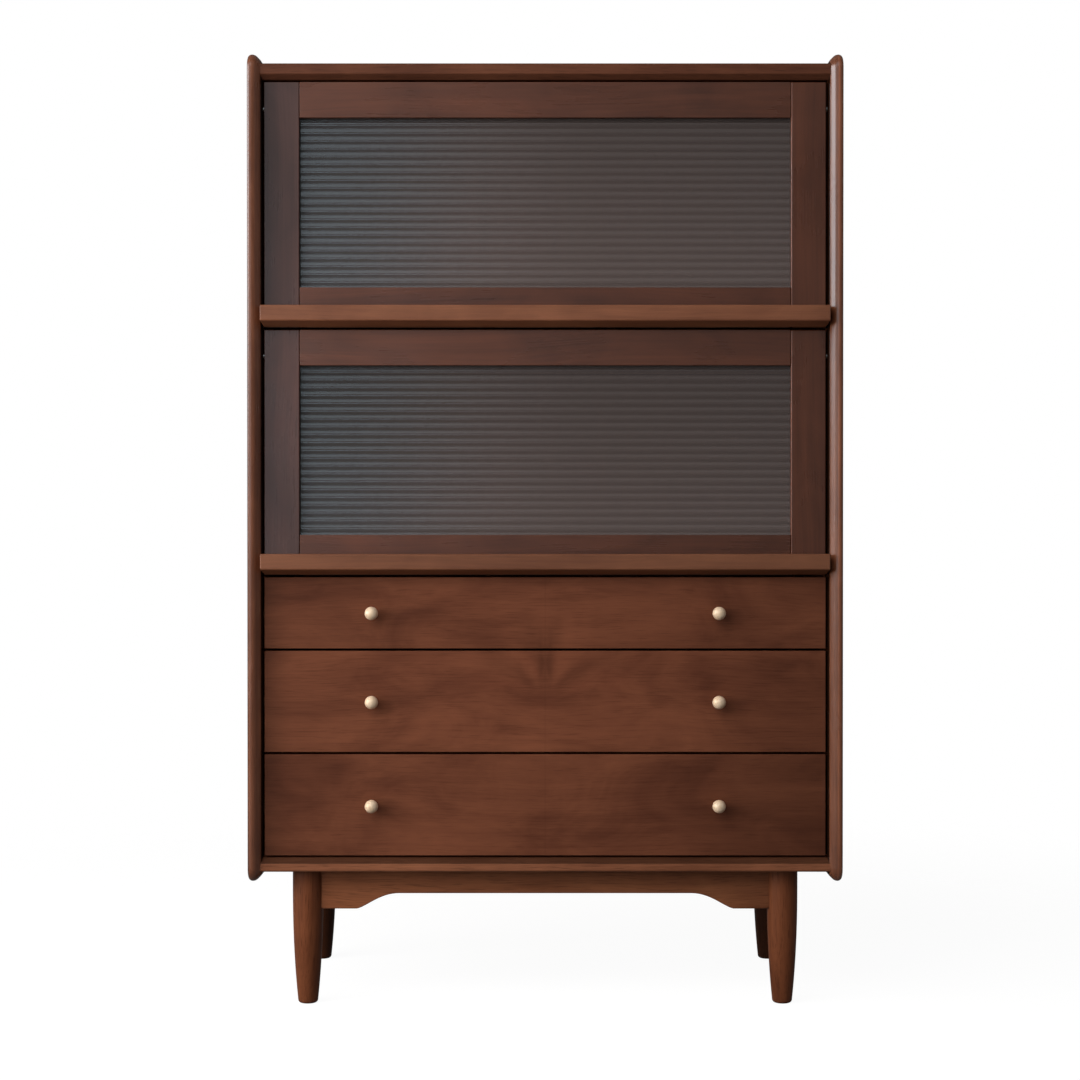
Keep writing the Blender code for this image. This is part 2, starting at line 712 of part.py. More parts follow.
def knob_profile():
    """A ball knob on a neck and base, and behind the drawer front the screw and its head."""
    neck_angle = math.pi - math.asin(KNOB_NECK_RADIUS / KNOB_RADIUS)
    tip_angle = neck_angle / (KNOB_ARC_STEPS + 1)
    centre = (0.0, KNOB_PROJECTION - KNOB_RADIUS * math.cos(tip_angle))
    quarter = math.pi / 2
    ball = arc(centre, KNOB_RADIUS, quarter - tip_angle, quarter - neck_angle, KNOB_ARC_STEPS)
    base = [
        (KNOB_NECK_RADIUS, KNOB_BASE_HEIGHT),
        (KNOB_BASE_RADIUS, KNOB_BASE_HEIGHT),
        (KNOB_BASE_RADIUS, SEAT_GAP),
    ]
    head = -DRAWER_FRONT_THICKNESS - SEAT_GAP
    screw = [
        (SCREW_RADIUS, SEAT_GAP),
        (SCREW_RADIUS, head),
        (SCREW_HEAD_RADIUS, head),
        (SCREW_HEAD_RADIUS, head - SCREW_HEAD_HEIGHT),
    ]
    return ball + base + screw


def build_drawer_front(drawer, materials, parent):
    """The front board, grooved for the bottom and bored for the knobs, and the knobs."""
    low, high = FRONTS[drawer]
    middle = (low + high) / 2
    bm = bmesh.new()
    add_box(bm, (-FRONT_X, FRONT_X), (FACE_Y, DRAWER_FRONT_BACK_Y), FRONTS[drawer])
    front = make_piece(f"{drawer}_front", bm, materials["walnut"], parent)
    cuts = bmesh.new()
    groove_x = BOX_INNER_X + DRAWER_BOTTOM_HOLD
    groove_y = (DRAWER_FRONT_BACK_Y - DRAWER_BOTTOM_HOLD, DRAWER_FRONT_BACK_Y + CUT_MARGIN)
    add_box(cuts, (-groove_x, groove_x), groove_y, widened(bottom_span(drawer), SEAT_GAP))
    for name, side in SIDES.items():
        centre = (side * KNOB_OFFSET, middle)
        bore = widened((FACE_Y, DRAWER_FRONT_BACK_Y), CUT_MARGIN)
        add_cylinder(cuts, "Y", centre, SCREW_RADIUS + SEAT_GAP, *bore)
        knob = bmesh.new()
        profile = [(radius, FACE_Y - along) for radius, along in knob_profile()]
        add_turned(knob, "Y", centre, profile, KNOB_STEPS)
        make_piece(f"{drawer}_knob_{name}", knob, materials["brass"], parent)
    combine(front, "DIFFERENCE", cuts)


def build_drawer_side(drawer, name, side, material, parent):
    """A drawer side with a groove outside for its runner and one inside for the bottom."""
    depth = (DRAWER_FRONT_BACK_Y + SEAT_GAP, BOX_BACK_Y)
    past = widened(depth, CUT_MARGIN)
    bm = bmesh.new()
    add_box(bm, mirrored(side, BOX_INNER_X, BOX_X), depth, box_span(drawer))
    piece = make_piece(f"{drawer}_side_{name}", bm, material, parent)
    cuts = bmesh.new()
    outer = mirrored(side, BOX_X - RUNNER_HOLD, BOX_X + CUT_MARGIN)
    add_box(cuts, outer, past, widened(runner_span(drawer), SEAT_GAP))
    inner = mirrored(side, BOX_INNER_X - CUT_MARGIN, BOX_INNER_X + DRAWER_BOTTOM_HOLD)
    add_box(cuts, inner, past, widened(bottom_span(drawer), SEAT_GAP))
    combine(piece, "DIFFERENCE", cuts)


def build_runner(drawer, name, side, material, parent):
    """A wooden runner on the side panel, which the drawer side's groove slides on."""
    across = mirrored(side, BOX_X - RUNNER_HOLD + SEAT_GAP, INNER_X - SEAT_GAP)
    depth = (DRAWER_FRONT_BACK_Y + RUNNER_FRONT_GAP, BACK_PANEL_Y - SEAT_GAP)
    bm = bmesh.new()
    add_box(bm, across, depth, runner_span(drawer))
    make_piece(f"{drawer}_runner_{name}", bm, material, parent)


def build_drawer(drawer, materials, carcass):
    """A drawer box with its front and knobs, and the runners that carry it."""
    wood = materials["drawer_wood"]
    low, high = FRONTS[drawer]
    body = make_empty(f"{drawer}_slide", (0.0, FACE_Y, (low + high) / 2))
    build_drawer_front(drawer, materials, body)
    for name, side in SIDES.items():
        build_drawer_side(drawer, name, side, wood, body)
        build_runner(drawer, name, side, wood, carcass)
    floor = bottom_span(drawer)
    inside = BOX_INNER_X - SEAT_GAP
    bm = bmesh.new()
    height = (floor[1] + SEAT_GAP, box_span(drawer)[1] - BACK_DROP)
    add_box(bm, (-inside, inside), (BOX_BACK_Y - DRAWER_BACK_THICKNESS, BOX_BACK_Y), height)
    make_piece(f"{drawer}_back", bm, wood, body)
    held = BOX_INNER_X + DRAWER_BOTTOM_HOLD - SEAT_GAP
    depth = (DRAWER_FRONT_BACK_Y - DRAWER_BOTTOM_HOLD + SEAT_GAP, BOX_BACK_Y)
    bm = bmesh.new()
    add_box(bm, (-held, held), depth, floor)
    make_piece(f"{drawer}_bottom", bm, materials["plywood"], body)


def main():
    """Clear the scene and build the whole piece."""
    for obj in list(bpy.data.objects):
        bpy.data.objects.remove(obj, do_unlink=True)
    materials = make_materials()
    carcass = make_empty("carcass", (0.0, 0.0, 0.0))
    build_carcass(materials, carcass)
    build_base(materials, carcass)
    for door in DOORS:
        build_door(door, materials)
    for drawer in DRAWERS:
        build_drawer(drawer, materials, carcass)


main()
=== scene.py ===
"""Finish, light and camera for a glazed chest of drawers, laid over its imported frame.

Every piece is rebuilt where the frame's node stands, with soft arrises and a stained wood, fluted glass
or metal finish, and it rides on the node's own body. The doors' steel pivots stay as the frame has them
and get a finish, and the back panel's screws are added.
"""

import functools
import json
import logging
import math
import random
from collections.abc import Callable, Iterable, Sequence
from dataclasses import dataclass, field, replace
from enum import Enum
from typing import Any

import bmesh
import bpy
import numpy as np
from mathutils import Matrix, Vector

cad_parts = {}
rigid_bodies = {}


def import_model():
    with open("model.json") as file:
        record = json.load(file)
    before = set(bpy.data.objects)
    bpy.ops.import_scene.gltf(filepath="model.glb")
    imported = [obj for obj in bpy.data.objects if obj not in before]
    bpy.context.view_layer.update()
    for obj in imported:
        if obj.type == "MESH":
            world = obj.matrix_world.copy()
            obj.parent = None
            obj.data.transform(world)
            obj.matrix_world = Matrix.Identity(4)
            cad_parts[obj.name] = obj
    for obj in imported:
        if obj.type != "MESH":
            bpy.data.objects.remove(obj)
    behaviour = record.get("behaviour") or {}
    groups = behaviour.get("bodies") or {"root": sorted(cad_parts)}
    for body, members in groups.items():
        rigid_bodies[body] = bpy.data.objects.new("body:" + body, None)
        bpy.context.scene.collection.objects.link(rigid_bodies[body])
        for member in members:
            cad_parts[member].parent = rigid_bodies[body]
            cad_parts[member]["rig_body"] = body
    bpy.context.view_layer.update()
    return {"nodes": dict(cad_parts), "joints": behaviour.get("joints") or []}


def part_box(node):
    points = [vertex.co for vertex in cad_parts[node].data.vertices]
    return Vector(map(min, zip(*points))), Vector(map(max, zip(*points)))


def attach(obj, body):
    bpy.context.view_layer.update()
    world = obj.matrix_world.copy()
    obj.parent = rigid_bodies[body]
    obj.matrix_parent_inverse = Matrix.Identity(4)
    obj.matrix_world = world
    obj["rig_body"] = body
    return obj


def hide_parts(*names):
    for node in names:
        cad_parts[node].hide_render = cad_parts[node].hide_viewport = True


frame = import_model()

LOG = logging.getLogger("chest_of_drawers")

# Names in the frame, and names of the attributes that a finished mesh carries
DOORS = ("upper_door", "lower_door")
DRAWERS = ("drawer_top", "drawer_middle", "drawer_bottom")
SHELVES = ("shelf_upper", "shelf_lower")
LEGS = ("leg_front_left", "leg_front_right", "leg_rear_left", "leg_rear_right")
GRAIN = "grain"
# The shade attribute holds a share of the finish's colour: a tone, or painted light and shade
SHADE = "shade"

# How arrises are rounded and shaded, and how far apart in the plank two boards may be cut
ARRIS_STEPS = 3
ROUND_PROFILE = 0.5
SHARP_ANGLE = math.radians(48.0)
FLAT_WEIGHT = 100
PLANK_REACH = 4.0

Point = tuple[float, float]
Span = tuple[float, float]
Fall = tuple[float, float, float, float]
Place = tuple[float, float, float]
Colour = tuple[float, float, float]
Paint = tuple[float, float, float, float]
Mesh = bpy.types.Mesh
Node = bpy.types.Node
Outputs = bpy.types.NodeOutputs
Socket = bpy.types.NodeSocket
Shade = float | Callable[[bpy.types.MeshPolygon, Vector], float]

BLACK: Paint = (0.0, 0.0, 0.0, 1.0)
WHITE: Paint = (1.0, 1.0, 1.0, 1.0)


class Fibre(Enum):
    """Direction a board's fibres run in, as the order of its along, across and through axes."""

    X = (0, 2, 1)
    Y = (1, 2, 0)
    Z = (2, 0, 1)


class Side(Enum):
    """Left or right half of the chest, as the sign of X."""

    LEFT = -1
    RIGHT = 1

    @property
    def word(self) -> str:
        """Name the side as the frame's nodes do."""
        return self.name.lower()

    def pick(self, left: Any, right: Any) -> Any:
        """Return the value that belongs to this side."""
        return left if self is Side.LEFT else right


# Node wiring


class Graph:
    """A node tree that is wired up call by call."""

    def __init__(self, tree: bpy.types.NodeTree) -> None:
        """Take a tree and empty it."""
        self.tree = tree
        tree.nodes.clear()

    def add(self, kind: str, inputs: dict | None = None, **settings: object) -> Node:
        """Add a node, set it up and wire its inputs.

        Args:
            kind: The node's type name.
            inputs: Values or output sockets, by the input's name or index.
            **settings: Properties of the node itself.

        Returns:
            The new node.
        """
        node = self.tree.nodes.new(kind)
        for key, value in settings.items():
            setattr(node, key, value)
        self.wire(node, inputs or {})
        return node

    def wire(self, node: Node, inputs: dict) -> None:
        """Link outputs to a node's inputs, or set the inputs' own values.

        Args:
            node: The node.
            inputs: Values or output sockets, by the input's name or index.
        """
        for key, value in inputs.items():
            if isinstance(value, Socket):
                self.tree.links.new(value, node.inputs[key])
            else:
                node.inputs[key].default_value = value

    def math(self, operation: str, *values: object, clamp: bool = False) -> Socket:
        """Add a Math node on numbers or sockets, kept between 0 and 1 if asked, and return its result."""
        inputs = dict(enumerate(values))
        return self.add("ShaderNodeMath", inputs, operation=operation, use_clamp=clamp).outputs[0]

    def product(self, *factors: object) -> Socket:
        """Multiply numbers or sockets in turn."""
        return functools.reduce(lambda done, factor: self.math("MULTIPLY", done, factor), factors)

    def swing(self, value: Socket, reach: float = 1.0) -> Socket:
        """Turn a value from 0 to 1 into one that swings about 0 over a reach."""
        return self.math("MULTIPLY_ADD", value, reach, -reach / 2.0)

    def choose(self, mask: Socket, off: object, on: object) -> Socket:
        """Return one value where a mask is 0 and another where it is 1."""
        return self.math("MULTIPLY_ADD", mask, on, self.product(self.math("SUBTRACT", 1.0, mask), off))

    def vector(self, operation: str, *values: object) -> Socket:
        """Add a Vector Math node and return its vector."""
        return self.add("ShaderNodeVectorMath", dict(enumerate(values)), operation=operation).outputs[0]

    def combine(self, x: object = 0.0, y: object = 0.0, z: object = 0.0) -> Socket:
        """Join three numbers into a vector."""
        return self.add("ShaderNodeCombineXYZ", {"X": x, "Y": y, "Z": z}).outputs[0]

    def split(self, vector: Socket) -> Outputs:
        """Split a vector into its three numbers."""
        return self.add("ShaderNodeSeparateXYZ", {"Vector": vector}).outputs

    def place(self) -> Socket:
        """Return a surface point's place in metres."""
        return self.add("ShaderNodeTexCoord").outputs["Object"]

    def spot(self) -> Outputs:
        """Return a vertex's place in a geometry tree, as three numbers."""
        return self.split(self.add("GeometryNodeInputPosition").outputs[0])

    def attribute(self, name: str, output: str) -> Socket:
        """Read an attribute that the mesh carries."""
        return self.add("ShaderNodeAttribute", attribute_name=name).outputs[output]

    def noise(
        self,
        place: Socket,
        scale: Place,
        detail: float = 2.0,
        roughness: float = 0.5,
        distortion: float = 0.0,
    ) -> Socket:
        """Add noise stretched along the axes.

        Args:
            place: Coordinates in metres.
            scale: Cycles to the metre along each axis.
            detail: Octaves on top of the first.
            roughness: How strongly the octaves show.
            distortion: How far the noise bends itself.

        Returns:
            The noise value's socket.
        """
        inputs = {"Vector": self.vector("MULTIPLY", place, scale), "Scale": 1.0, "Detail": detail}
        inputs |= {"Roughness": roughness, "Distortion": distortion}
        return self.add("ShaderNodeTexNoise", inputs).outputs[0]

    def ramp(self, value: Socket, low: float, high: float, start: float = 0.0, end: float = 1.0) -> Socket:
        """Ease from start to end, both results, while a value goes from low to high."""
        inputs = {0: value, 1: low, 2: high, 3: start, 4: end}
        return self.add("ShaderNodeMapRange", inputs, interpolation_type="SMOOTHSTEP").outputs[0]

    def band(self, value: Socket, rise: Span, fall: Span) -> Socket:
        """Return a mask that eases in over one span of a value and out over another."""
        return self.product(self.ramp(value, *rise), self.ramp(value, *fall))

    def blend(self, factor: object, first: object, second: object, kind: str = "MIX") -> Socket:
        """Blend two colours by the second one's share."""
        inputs = {0: factor, 6: first, 7: second}
        return self.add("ShaderNodeMix", inputs, data_type="RGBA", blend_type=kind).outputs[2]

    def bump(self, height: Socket, distance: float, strength: float = 0.2) -> Socket:
        """Turn a height into a normal."""
        inputs = {"Strength": strength, "Distance": distance, "Height": height}
        return self.add("ShaderNodeBump", inputs).outputs[0]

    def group(self, tree: bpy.types.NodeTree, inputs: dict) -> Outputs:
        """Place a shared shader group and return its outputs."""
        return self.add("ShaderNodeGroup", inputs, node_tree=tree).outputs


def open_group(
    name: str, kind: str, inputs: dict[str, str], outputs: dict[str, str]
) -> tuple[Graph, Outputs, Node]:
    """Start a node group with named sockets.

    Args:
        name: The group's name.
        kind: ShaderNodeTree or GeometryNodeTree.
        inputs: Socket types by input name.
        outputs: Socket types by output name.

    Returns:
        The graph, the sockets that its inputs come from, and its output node.
    """
    tree = bpy.data.node_groups.new(name, kind)
    for way, sockets in (("INPUT", inputs), ("OUTPUT", outputs)):
        for title, socket in sockets.items():
            tree.interface.new_socket(name=title, in_out=way, socket_type="NodeSocket" + socket)
    graph = Graph(tree)
    return graph, graph.add("NodeGroupInput").outputs, graph.add("NodeGroupOutput")


def wood_grain_group() -> bpy.types.NodeTree:
    """Build the stained wood pattern: blotches, streaks and open pores along the fibres.

    Returns:
        The shader group.
    """
    inputs = {"Vector": "Vector", "Cloud Vector": "Vector", "Dark": "Color", "Light": "Color"}
    inputs |= {"Blotch": "Float", "Streak": "Float", "Pores": "Float"}
    outputs = {"Color": "Color", "Height": "Float", "Mottle": "Float"}
    graph, given, result = open_group("wood_grain", "ShaderNodeTree", inputs, outputs)
    sway_reach = 0.05
    broad_share = 0.55
    fine_share = 0.45
    pore_span = (0.56, 0.70)
    pore_dark = 0.62
    fine_relief = 0.5
    pore_relief = 0.6
    place = given["Vector"]
    sway = graph.swing(graph.noise(place, (1.9, 7.0, 7.0)), sway_reach)
    bent = graph.vector("ADD", place, graph.combine(y=sway))
    cloud = given["Cloud Vector"]
    blotch = graph.noise(cloud, (6.4, 13.0, 13.0), detail=4.0, roughness=0.55, distortion=0.9)
    broad = graph.noise(bent, (2.3, 46.0, 46.0), detail=3.0, roughness=0.6)
    fine = graph.noise(bent, (7.0, 330.0, 330.0), detail=3.0, roughness=0.65)
    flecks = graph.noise(bent, (34.0, 1250.0, 1250.0), detail=1.0)
    streak = graph.math("ADD", graph.swing(broad, broad_share), graph.swing(fine, fine_share))
    tone = graph.math("MULTIPLY_ADD", graph.swing(blotch), given["Blotch"], 0.5)
    tone = graph.math("MULTIPLY_ADD", streak, given["Streak"], tone, clamp=True)
    colour = graph.blend(tone, given["Dark"], given["Light"])
    pores = graph.product(graph.ramp(flecks, *pore_span), given["Pores"])
    colour = graph.blend(pores, colour, graph.blend(pore_dark, colour, BLACK))
    height = graph.math("SUBTRACT", graph.product(fine, fine_relief), graph.product(pores, pore_relief))
    mottle = graph.math("ADD", graph.product(blotch, 0.5), graph.product(fine, 0.5))
    graph.wire(result, {"Color": colour, "Height": height, "Mottle": mottle})
    return graph.tree


def lacquer_group() -> bpy.types.NodeTree:
    """Build the satin lacquer: gloss that drifts over a hand's width, and a fine brushed unevenness.

    Returns:
        The shader group.
    """
    inputs = {"Vector": "Vector", "Roughness": "Float", "Spread": "Float"}
    outputs = {"Roughness": "Float", "Height": "Float"}
    graph, given, result = open_group("satin_lacquer", "ShaderNodeTree", inputs, outputs)
    wave_share = 4.0
    place = given["Vector"]
    drift = graph.swing(graph.noise(place, (9.0, 17.0, 17.0), detail=3.0))
    rough = graph.math("MULTIPLY_ADD", drift, given["Spread"], given["Roughness"], clamp=True)
    peel = graph.noise(place, (130.0, 240.0, 240.0), detail=1.0)
    wave = graph.noise(place, (14.0, 26.0, 26.0), detail=1.0)
    height = graph.math("MULTIPLY_ADD", wave, wave_share, peel)
    graph.wire(result, {"Roughness": rough, "Height": height})
    return graph.tree


def metal_group() -> bpy.types.NodeTree:
    """Build the worked metal: faint tarnish, fine turning marks and uneven gloss.

    Returns:
        The shader group.
    """
    inputs = {"Vector": "Vector", "Bright": "Color", "Tarnish": "Color"}
    inputs |= {"Amount": "Float", "Roughness": "Float"}
    outputs = {"Color": "Color", "Roughness": "Float", "Height": "Float"}
    graph, given, result = open_group("worked_metal", "ShaderNodeTree", inputs, outputs)
    tarnish_span = (0.42, 0.68)
    gloss_share = 0.25
    place = given["Vector"]
    cloud = graph.noise(place, (160.0, 160.0, 160.0), detail=3.0, roughness=0.6)
    marks = graph.noise(place, (500.0, 4200.0, 500.0), detail=1.0)
    share = graph.product(graph.ramp(cloud, *tarnish_span), given["Amount"])
    rough = graph.math("MULTIPLY_ADD", graph.swing(cloud), gloss_share, given["Roughness"], clamp=True)
    colour = graph.blend(share, given["Bright"], given["Tarnish"])
    graph.wire(result, {"Color": colour, "Roughness": rough, "Height": marks})
    return graph.tree


@dataclass
class SharedEffects:
    """The node groups that the finishes share."""

    grain: bpy.types.NodeTree = field(default_factory=wood_grain_group)
    lacquer: bpy.types.NodeTree = field(default_factory=lacquer_group)
    metal: bpy.types.NodeTree = field(default_factory=metal_group)


# Finishes


def linear(shade: Colour) -> Paint:
    """Turn a shade as it looks on screen into the linear colour that a node takes."""
    channels = [c / 12.92 if c <= 0.04045 else ((c + 0.055) / 1.055) ** 2.4 for c in shade]
    return (*channels, 1.0)


def grey(level: float) -> Paint:
    """Return a grey as a linear colour."""
    return (level, level, level, 1.0)


def fresh_material(name: str) -> tuple[bpy.types.Material, Graph]:
    """Make an empty node material.

    Args:
        name: The material's name.

    Returns:
        The material and its graph.
    """
    material = bpy.data.materials.new(name)
    material.use_nodes = True
    return material, Graph(material.node_tree)


@dataclass(frozen=True)
class Finish:
    """What a piece is made of and how its surface is worked."""

    name: str
    slot: str

    def build(self, effects: SharedEffects) -> bpy.types.Material:
        """Make the finish's material.

        Args:
            effects: The shared node groups.

        Returns:
            The material.
        """
        material, graph = fresh_material(self.name)
        shader = graph.add("ShaderNodeBsdfPrincipled", self.surface(graph, effects))
        graph.add("ShaderNodeOutputMaterial", {"Surface": shader.outputs[0]})
        return material

    def surface(self, graph: Graph, effects: SharedEffects) -> dict:
        """Return what the shader takes, by its inputs' names."""
        raise NotImplementedError


@dataclass(frozen=True)
class MatchedVeneer:
    """Two mirrored leaves of veneer: a fine seam, a fan over it, a stain that deepens to the ends, and a
    painted shadow at the left end.
    """

    outer_shade: float
    fan_height: float
    outer: Span = (0.08, 0.38)
    # A painted shadow of the side panel at the left end: dark at the end, easing out over the span
    left_end: Span = (-0.378, -0.335)
    left_end_shade: float = 0.72
    seam: Span = (0.0004, 0.0016)
    seam_strength: float = 0.07
    seam_colour: Paint = (0.012, 0.005, 0.003, 1.0)
    fan_core: Span = (0.010, 0.045)
    fan_rim: Span = (0.150, 0.05)
    fan_spread: Span = (1.65, 1.25)
    fan_turn: float = 0.88
    fan_rays: float = 8.4
    fan_stir: float = 5.5
    fan_dark: float = 0.17
    stir_scale: Place = (16.0, 16.0, 1.0)
    smudge_scale: Place = (60.0, 30.0, 1.0)
    smudge_cloud: Span = (0.40, 0.62)
    smudge_side: Span = (0.012, 0.002)
    smudge_foot: Span = (0.0, 0.02)
    smudge_head: Span = (0.105, 0.08)

    def fan(self, graph: Graph) -> Socket:
        """Draw the fan that the leaves open at the chest's middle: dark rays over a smudged seam.

        Args:
            graph: The material's graph.

        Returns:
            The share of the stain's colour that the fan leaves.
        """
        x, _, z = graph.split(graph.place())
        aside = graph.math("ABSOLUTE", x)
        above = graph.math("SUBTRACT", z, self.fan_height)
        turn = graph.math("ARCTAN2", aside, above)
        square = graph.math("MULTIPLY_ADD", aside, aside, graph.product(above, above))
        ringed = graph.band(graph.math("SQRT", square), self.fan_core, self.fan_rim)
        opened = graph.product(ringed, graph.ramp(turn, *self.fan_spread))
        stir = graph.swing(graph.noise(graph.combine(x, z), self.stir_scale, detail=3.0))
        phase = graph.product(graph.math("SUBTRACT", turn, self.fan_turn), self.fan_rays)
        ray = graph.math("COSINE", graph.math("MULTIPLY_ADD", stir, self.fan_stir, phase))
        smudge = graph.ramp(graph.noise(graph.combine(aside, z), self.smudge_scale), *self.smudge_cloud)
        tall = graph.band(above, self.smudge_foot, self.smudge_head)
        seamed = graph.product(graph.ramp(aside, *self.smudge_side), tall)
        dark = graph.math("MULTIPLY_ADD", smudge, seamed, graph.product(ray, opened))
        return graph.math("MULTIPLY_ADD", dark, -self.fan_dark, 1.0)

    def lay(self, graph: Graph, laid: Socket) -> tuple[Socket, Socket, Socket]:
        """Mirror the grain at the chest's middle.

        Args:
            graph: The material's graph.
            laid: Each point's place in its board.

        Returns:
            The mirrored place, the seam's mask, and the share of the stain's colour with the left end's
            painted shadow in it.
        """
        x, y, z = graph.split(laid)
        along = graph.math("ABSOLUTE", x)
        seam = graph.ramp(along, *self.seam, self.seam_strength, 0.0)
        outer = graph.ramp(along, *self.outer, 1.0, self.outer_shade)
        left_end = graph.ramp(x, *self.left_end, self.left_end_shade, 1.0)
        return graph.combine(along, y, z), seam, graph.product(outer, left_end, self.fan(graph))


@dataclass(frozen=True)
class WoodFinish(Finish):
    """A stained and lacquered wood."""

    dark: Colour
    light: Colour
    blotch: float = 1.5
    streak: float = 1.6
    pores: float = 0.6
    roughness: float = 0.42
    spread: float = 0.16
    specular: float = 0.35
    mottle_share: float = 0.10
    lacquer_share: float = 0.25
    relief: float = 0.00012
    veneer: MatchedVeneer | None = None

    def surface(self, graph: Graph, effects: SharedEffects) -> dict:
        """Work the wood's colour, gloss and relief.

        Args:
            graph: The material's graph.
            effects: The shared node groups.

        Returns:
            What the shader takes, by its inputs' names.
        """
        laid = graph.attribute(GRAIN, "Vector")
        shade = graph.attribute(SHADE, "Fac")
        place = laid
        if self.veneer:
            place, seam, share = self.veneer.lay(graph, laid)
            shade = graph.product(shade, share)
        stain = {"Dark": linear(self.dark), "Light": linear(self.light)}
        stain |= {"Blotch": self.blotch, "Streak": self.streak, "Pores": self.pores}
        grain = graph.group(effects.grain, {"Vector": place, "Cloud Vector": laid} | stain)
        gloss = {"Vector": place, "Roughness": self.roughness, "Spread": self.spread}
        lacquer = graph.group(effects.lacquer, gloss)
        colour = grain["Color"]
        if self.veneer:
            colour = graph.blend(seam, colour, self.veneer.seam_colour)
        mottle = (grain["Mottle"], self.mottle_share)
        height = graph.math("MULTIPLY_ADD", lacquer["Height"], self.lacquer_share, grain["Height"])
        return {
            "Base Color": graph.blend(1.0, colour, shade, "MULTIPLY"),
            "Roughness": graph.math("MULTIPLY_ADD", *mottle, lacquer["Roughness"], clamp=True),
            "Normal": graph.bump(height, self.relief),
            "Specular IOR Level": self.specular,
        }


@dataclass(frozen=True)
class MetalFinish(Finish):
    """A bare or polished metal."""

    bright: Colour
    tarnish: Colour
    amount: float = 0.5
    roughness: float = 0.25
    metallic: float = 1.0
    relief: float = 0.00004

    def surface(self, graph: Graph, effects: SharedEffects) -> dict:
        """Work the metal's colour, gloss and relief.

        Args:
            graph: The material's graph.
            effects: The shared node groups.

        Returns:
            What the shader takes, by its inputs' names.
        """
        metal = {"Bright": linear(self.bright), "Tarnish": linear(self.tarnish)}
        metal |= {"Vector": graph.place(), "Amount": self.amount, "Roughness": self.roughness}
        worked = graph.group(effects.metal, metal)
        return {
            "Base Color": worked["Color"],
            "Roughness": worked["Roughness"],
            "Normal": graph.bump(worked["Height"], self.relief),
            "Metallic": self.metallic,
        }


@dataclass(frozen=True)
class GlassFinish(Finish):
    """A rolled, fluted glass, with a painted cool reflection and painted shade toward its left end."""

    tint: Colour
    cool_tint: Colour
    warm_span: Span = (-0.34, -0.04)
    roughness: float = 0.03
    spread: float = 0.02
    ripple: float = 0.003
    relief: float = 0.0002
    clearness: float = 0.80
    refraction: float = 1.5

    def surface(self, graph: Graph, effects: SharedEffects) -> dict:
        """Work the glass's tint, its painted cool reflection and painted shade, and its faint ripple.

        Args:
            graph: The material's graph.
            effects: The shared node groups.

        Returns:
            What the shader takes, by its inputs' names.
        """
        place = graph.place()
        gloss = {"Vector": place, "Roughness": self.roughness, "Spread": self.spread}
        rolled = graph.group(effects.lacquer, gloss)
        # Painted cool reflection and shade: toward the left end the tint turns darker and bluer
        warm = graph.ramp(graph.split(place)[0], *self.warm_span)
        tint = graph.blend(warm, linear(self.cool_tint), linear(self.tint))
        return {
            "Base Color": graph.blend(graph.attribute(SHADE, "Fac"), BLACK, tint),
            "Roughness": rolled["Roughness"],
            "Normal": graph.bump(rolled["Height"], self.relief, self.ripple),
            "Transmission Weight": self.clearness,
            "IOR": self.refraction,
        }


FAN_RISE = 0.074
FRONT_VENEER = MatchedVeneer(outer_shade=0.76, fan_height=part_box("drawer_middle_front")[0].z + FAN_RISE)
FRONT_WALNUT = WoodFinish(
    "drawer_front_walnut", "walnut", (0.318, 0.170, 0.116), (0.500, 0.297, 0.208), blotch=1.7, streak=1.0,
    pores=0.35, specular=0.12, roughness=0.46, veneer=FRONT_VENEER,
)
TOP_FRONT_WALNUT = replace(
    FRONT_WALNUT, name="top_drawer_walnut", veneer=replace(FRONT_VENEER, outer_shade=0.84)
)
CARCASS_WALNUT = WoodFinish(
    "carcass_walnut", "walnut", (0.320, 0.178, 0.120), (0.520, 0.315, 0.215), blotch=1.2, pores=0.35,
    specular=0.65, roughness=0.20,
)
TOP_WALNUT = WoodFinish(
    "top_board_walnut", "walnut", (0.290, 0.160, 0.110), (0.430, 0.258, 0.180), blotch=1.2, specular=0.15,
    roughness=0.38,
)
BOTTOM_WALNUT = WoodFinish(
    "bottom_board_walnut", "walnut", (0.415, 0.245, 0.168), (0.625, 0.400, 0.288), blotch=1.0,
    specular=0.12, roughness=0.40,
)
APRON_WALNUT = WoodFinish(
    "apron_walnut", "walnut", (0.430, 0.242, 0.154), (0.610, 0.380, 0.255), blotch=1.2, specular=0.15,
    roughness=0.40,
)
LEG_WALNUT = WoodFinish(
    "leg_walnut", "walnut", (0.325, 0.170, 0.102), (0.500, 0.290, 0.184), blotch=1.3, specular=0.15,
    roughness=0.32,
)
FRAME_WALNUT = WoodFinish(
    "door_frame_walnut", "walnut_frame", (0.220, 0.120, 0.080), (0.365, 0.205, 0.138), blotch=1.2,
    pores=0.05, specular=0.50, roughness=0.24,
)
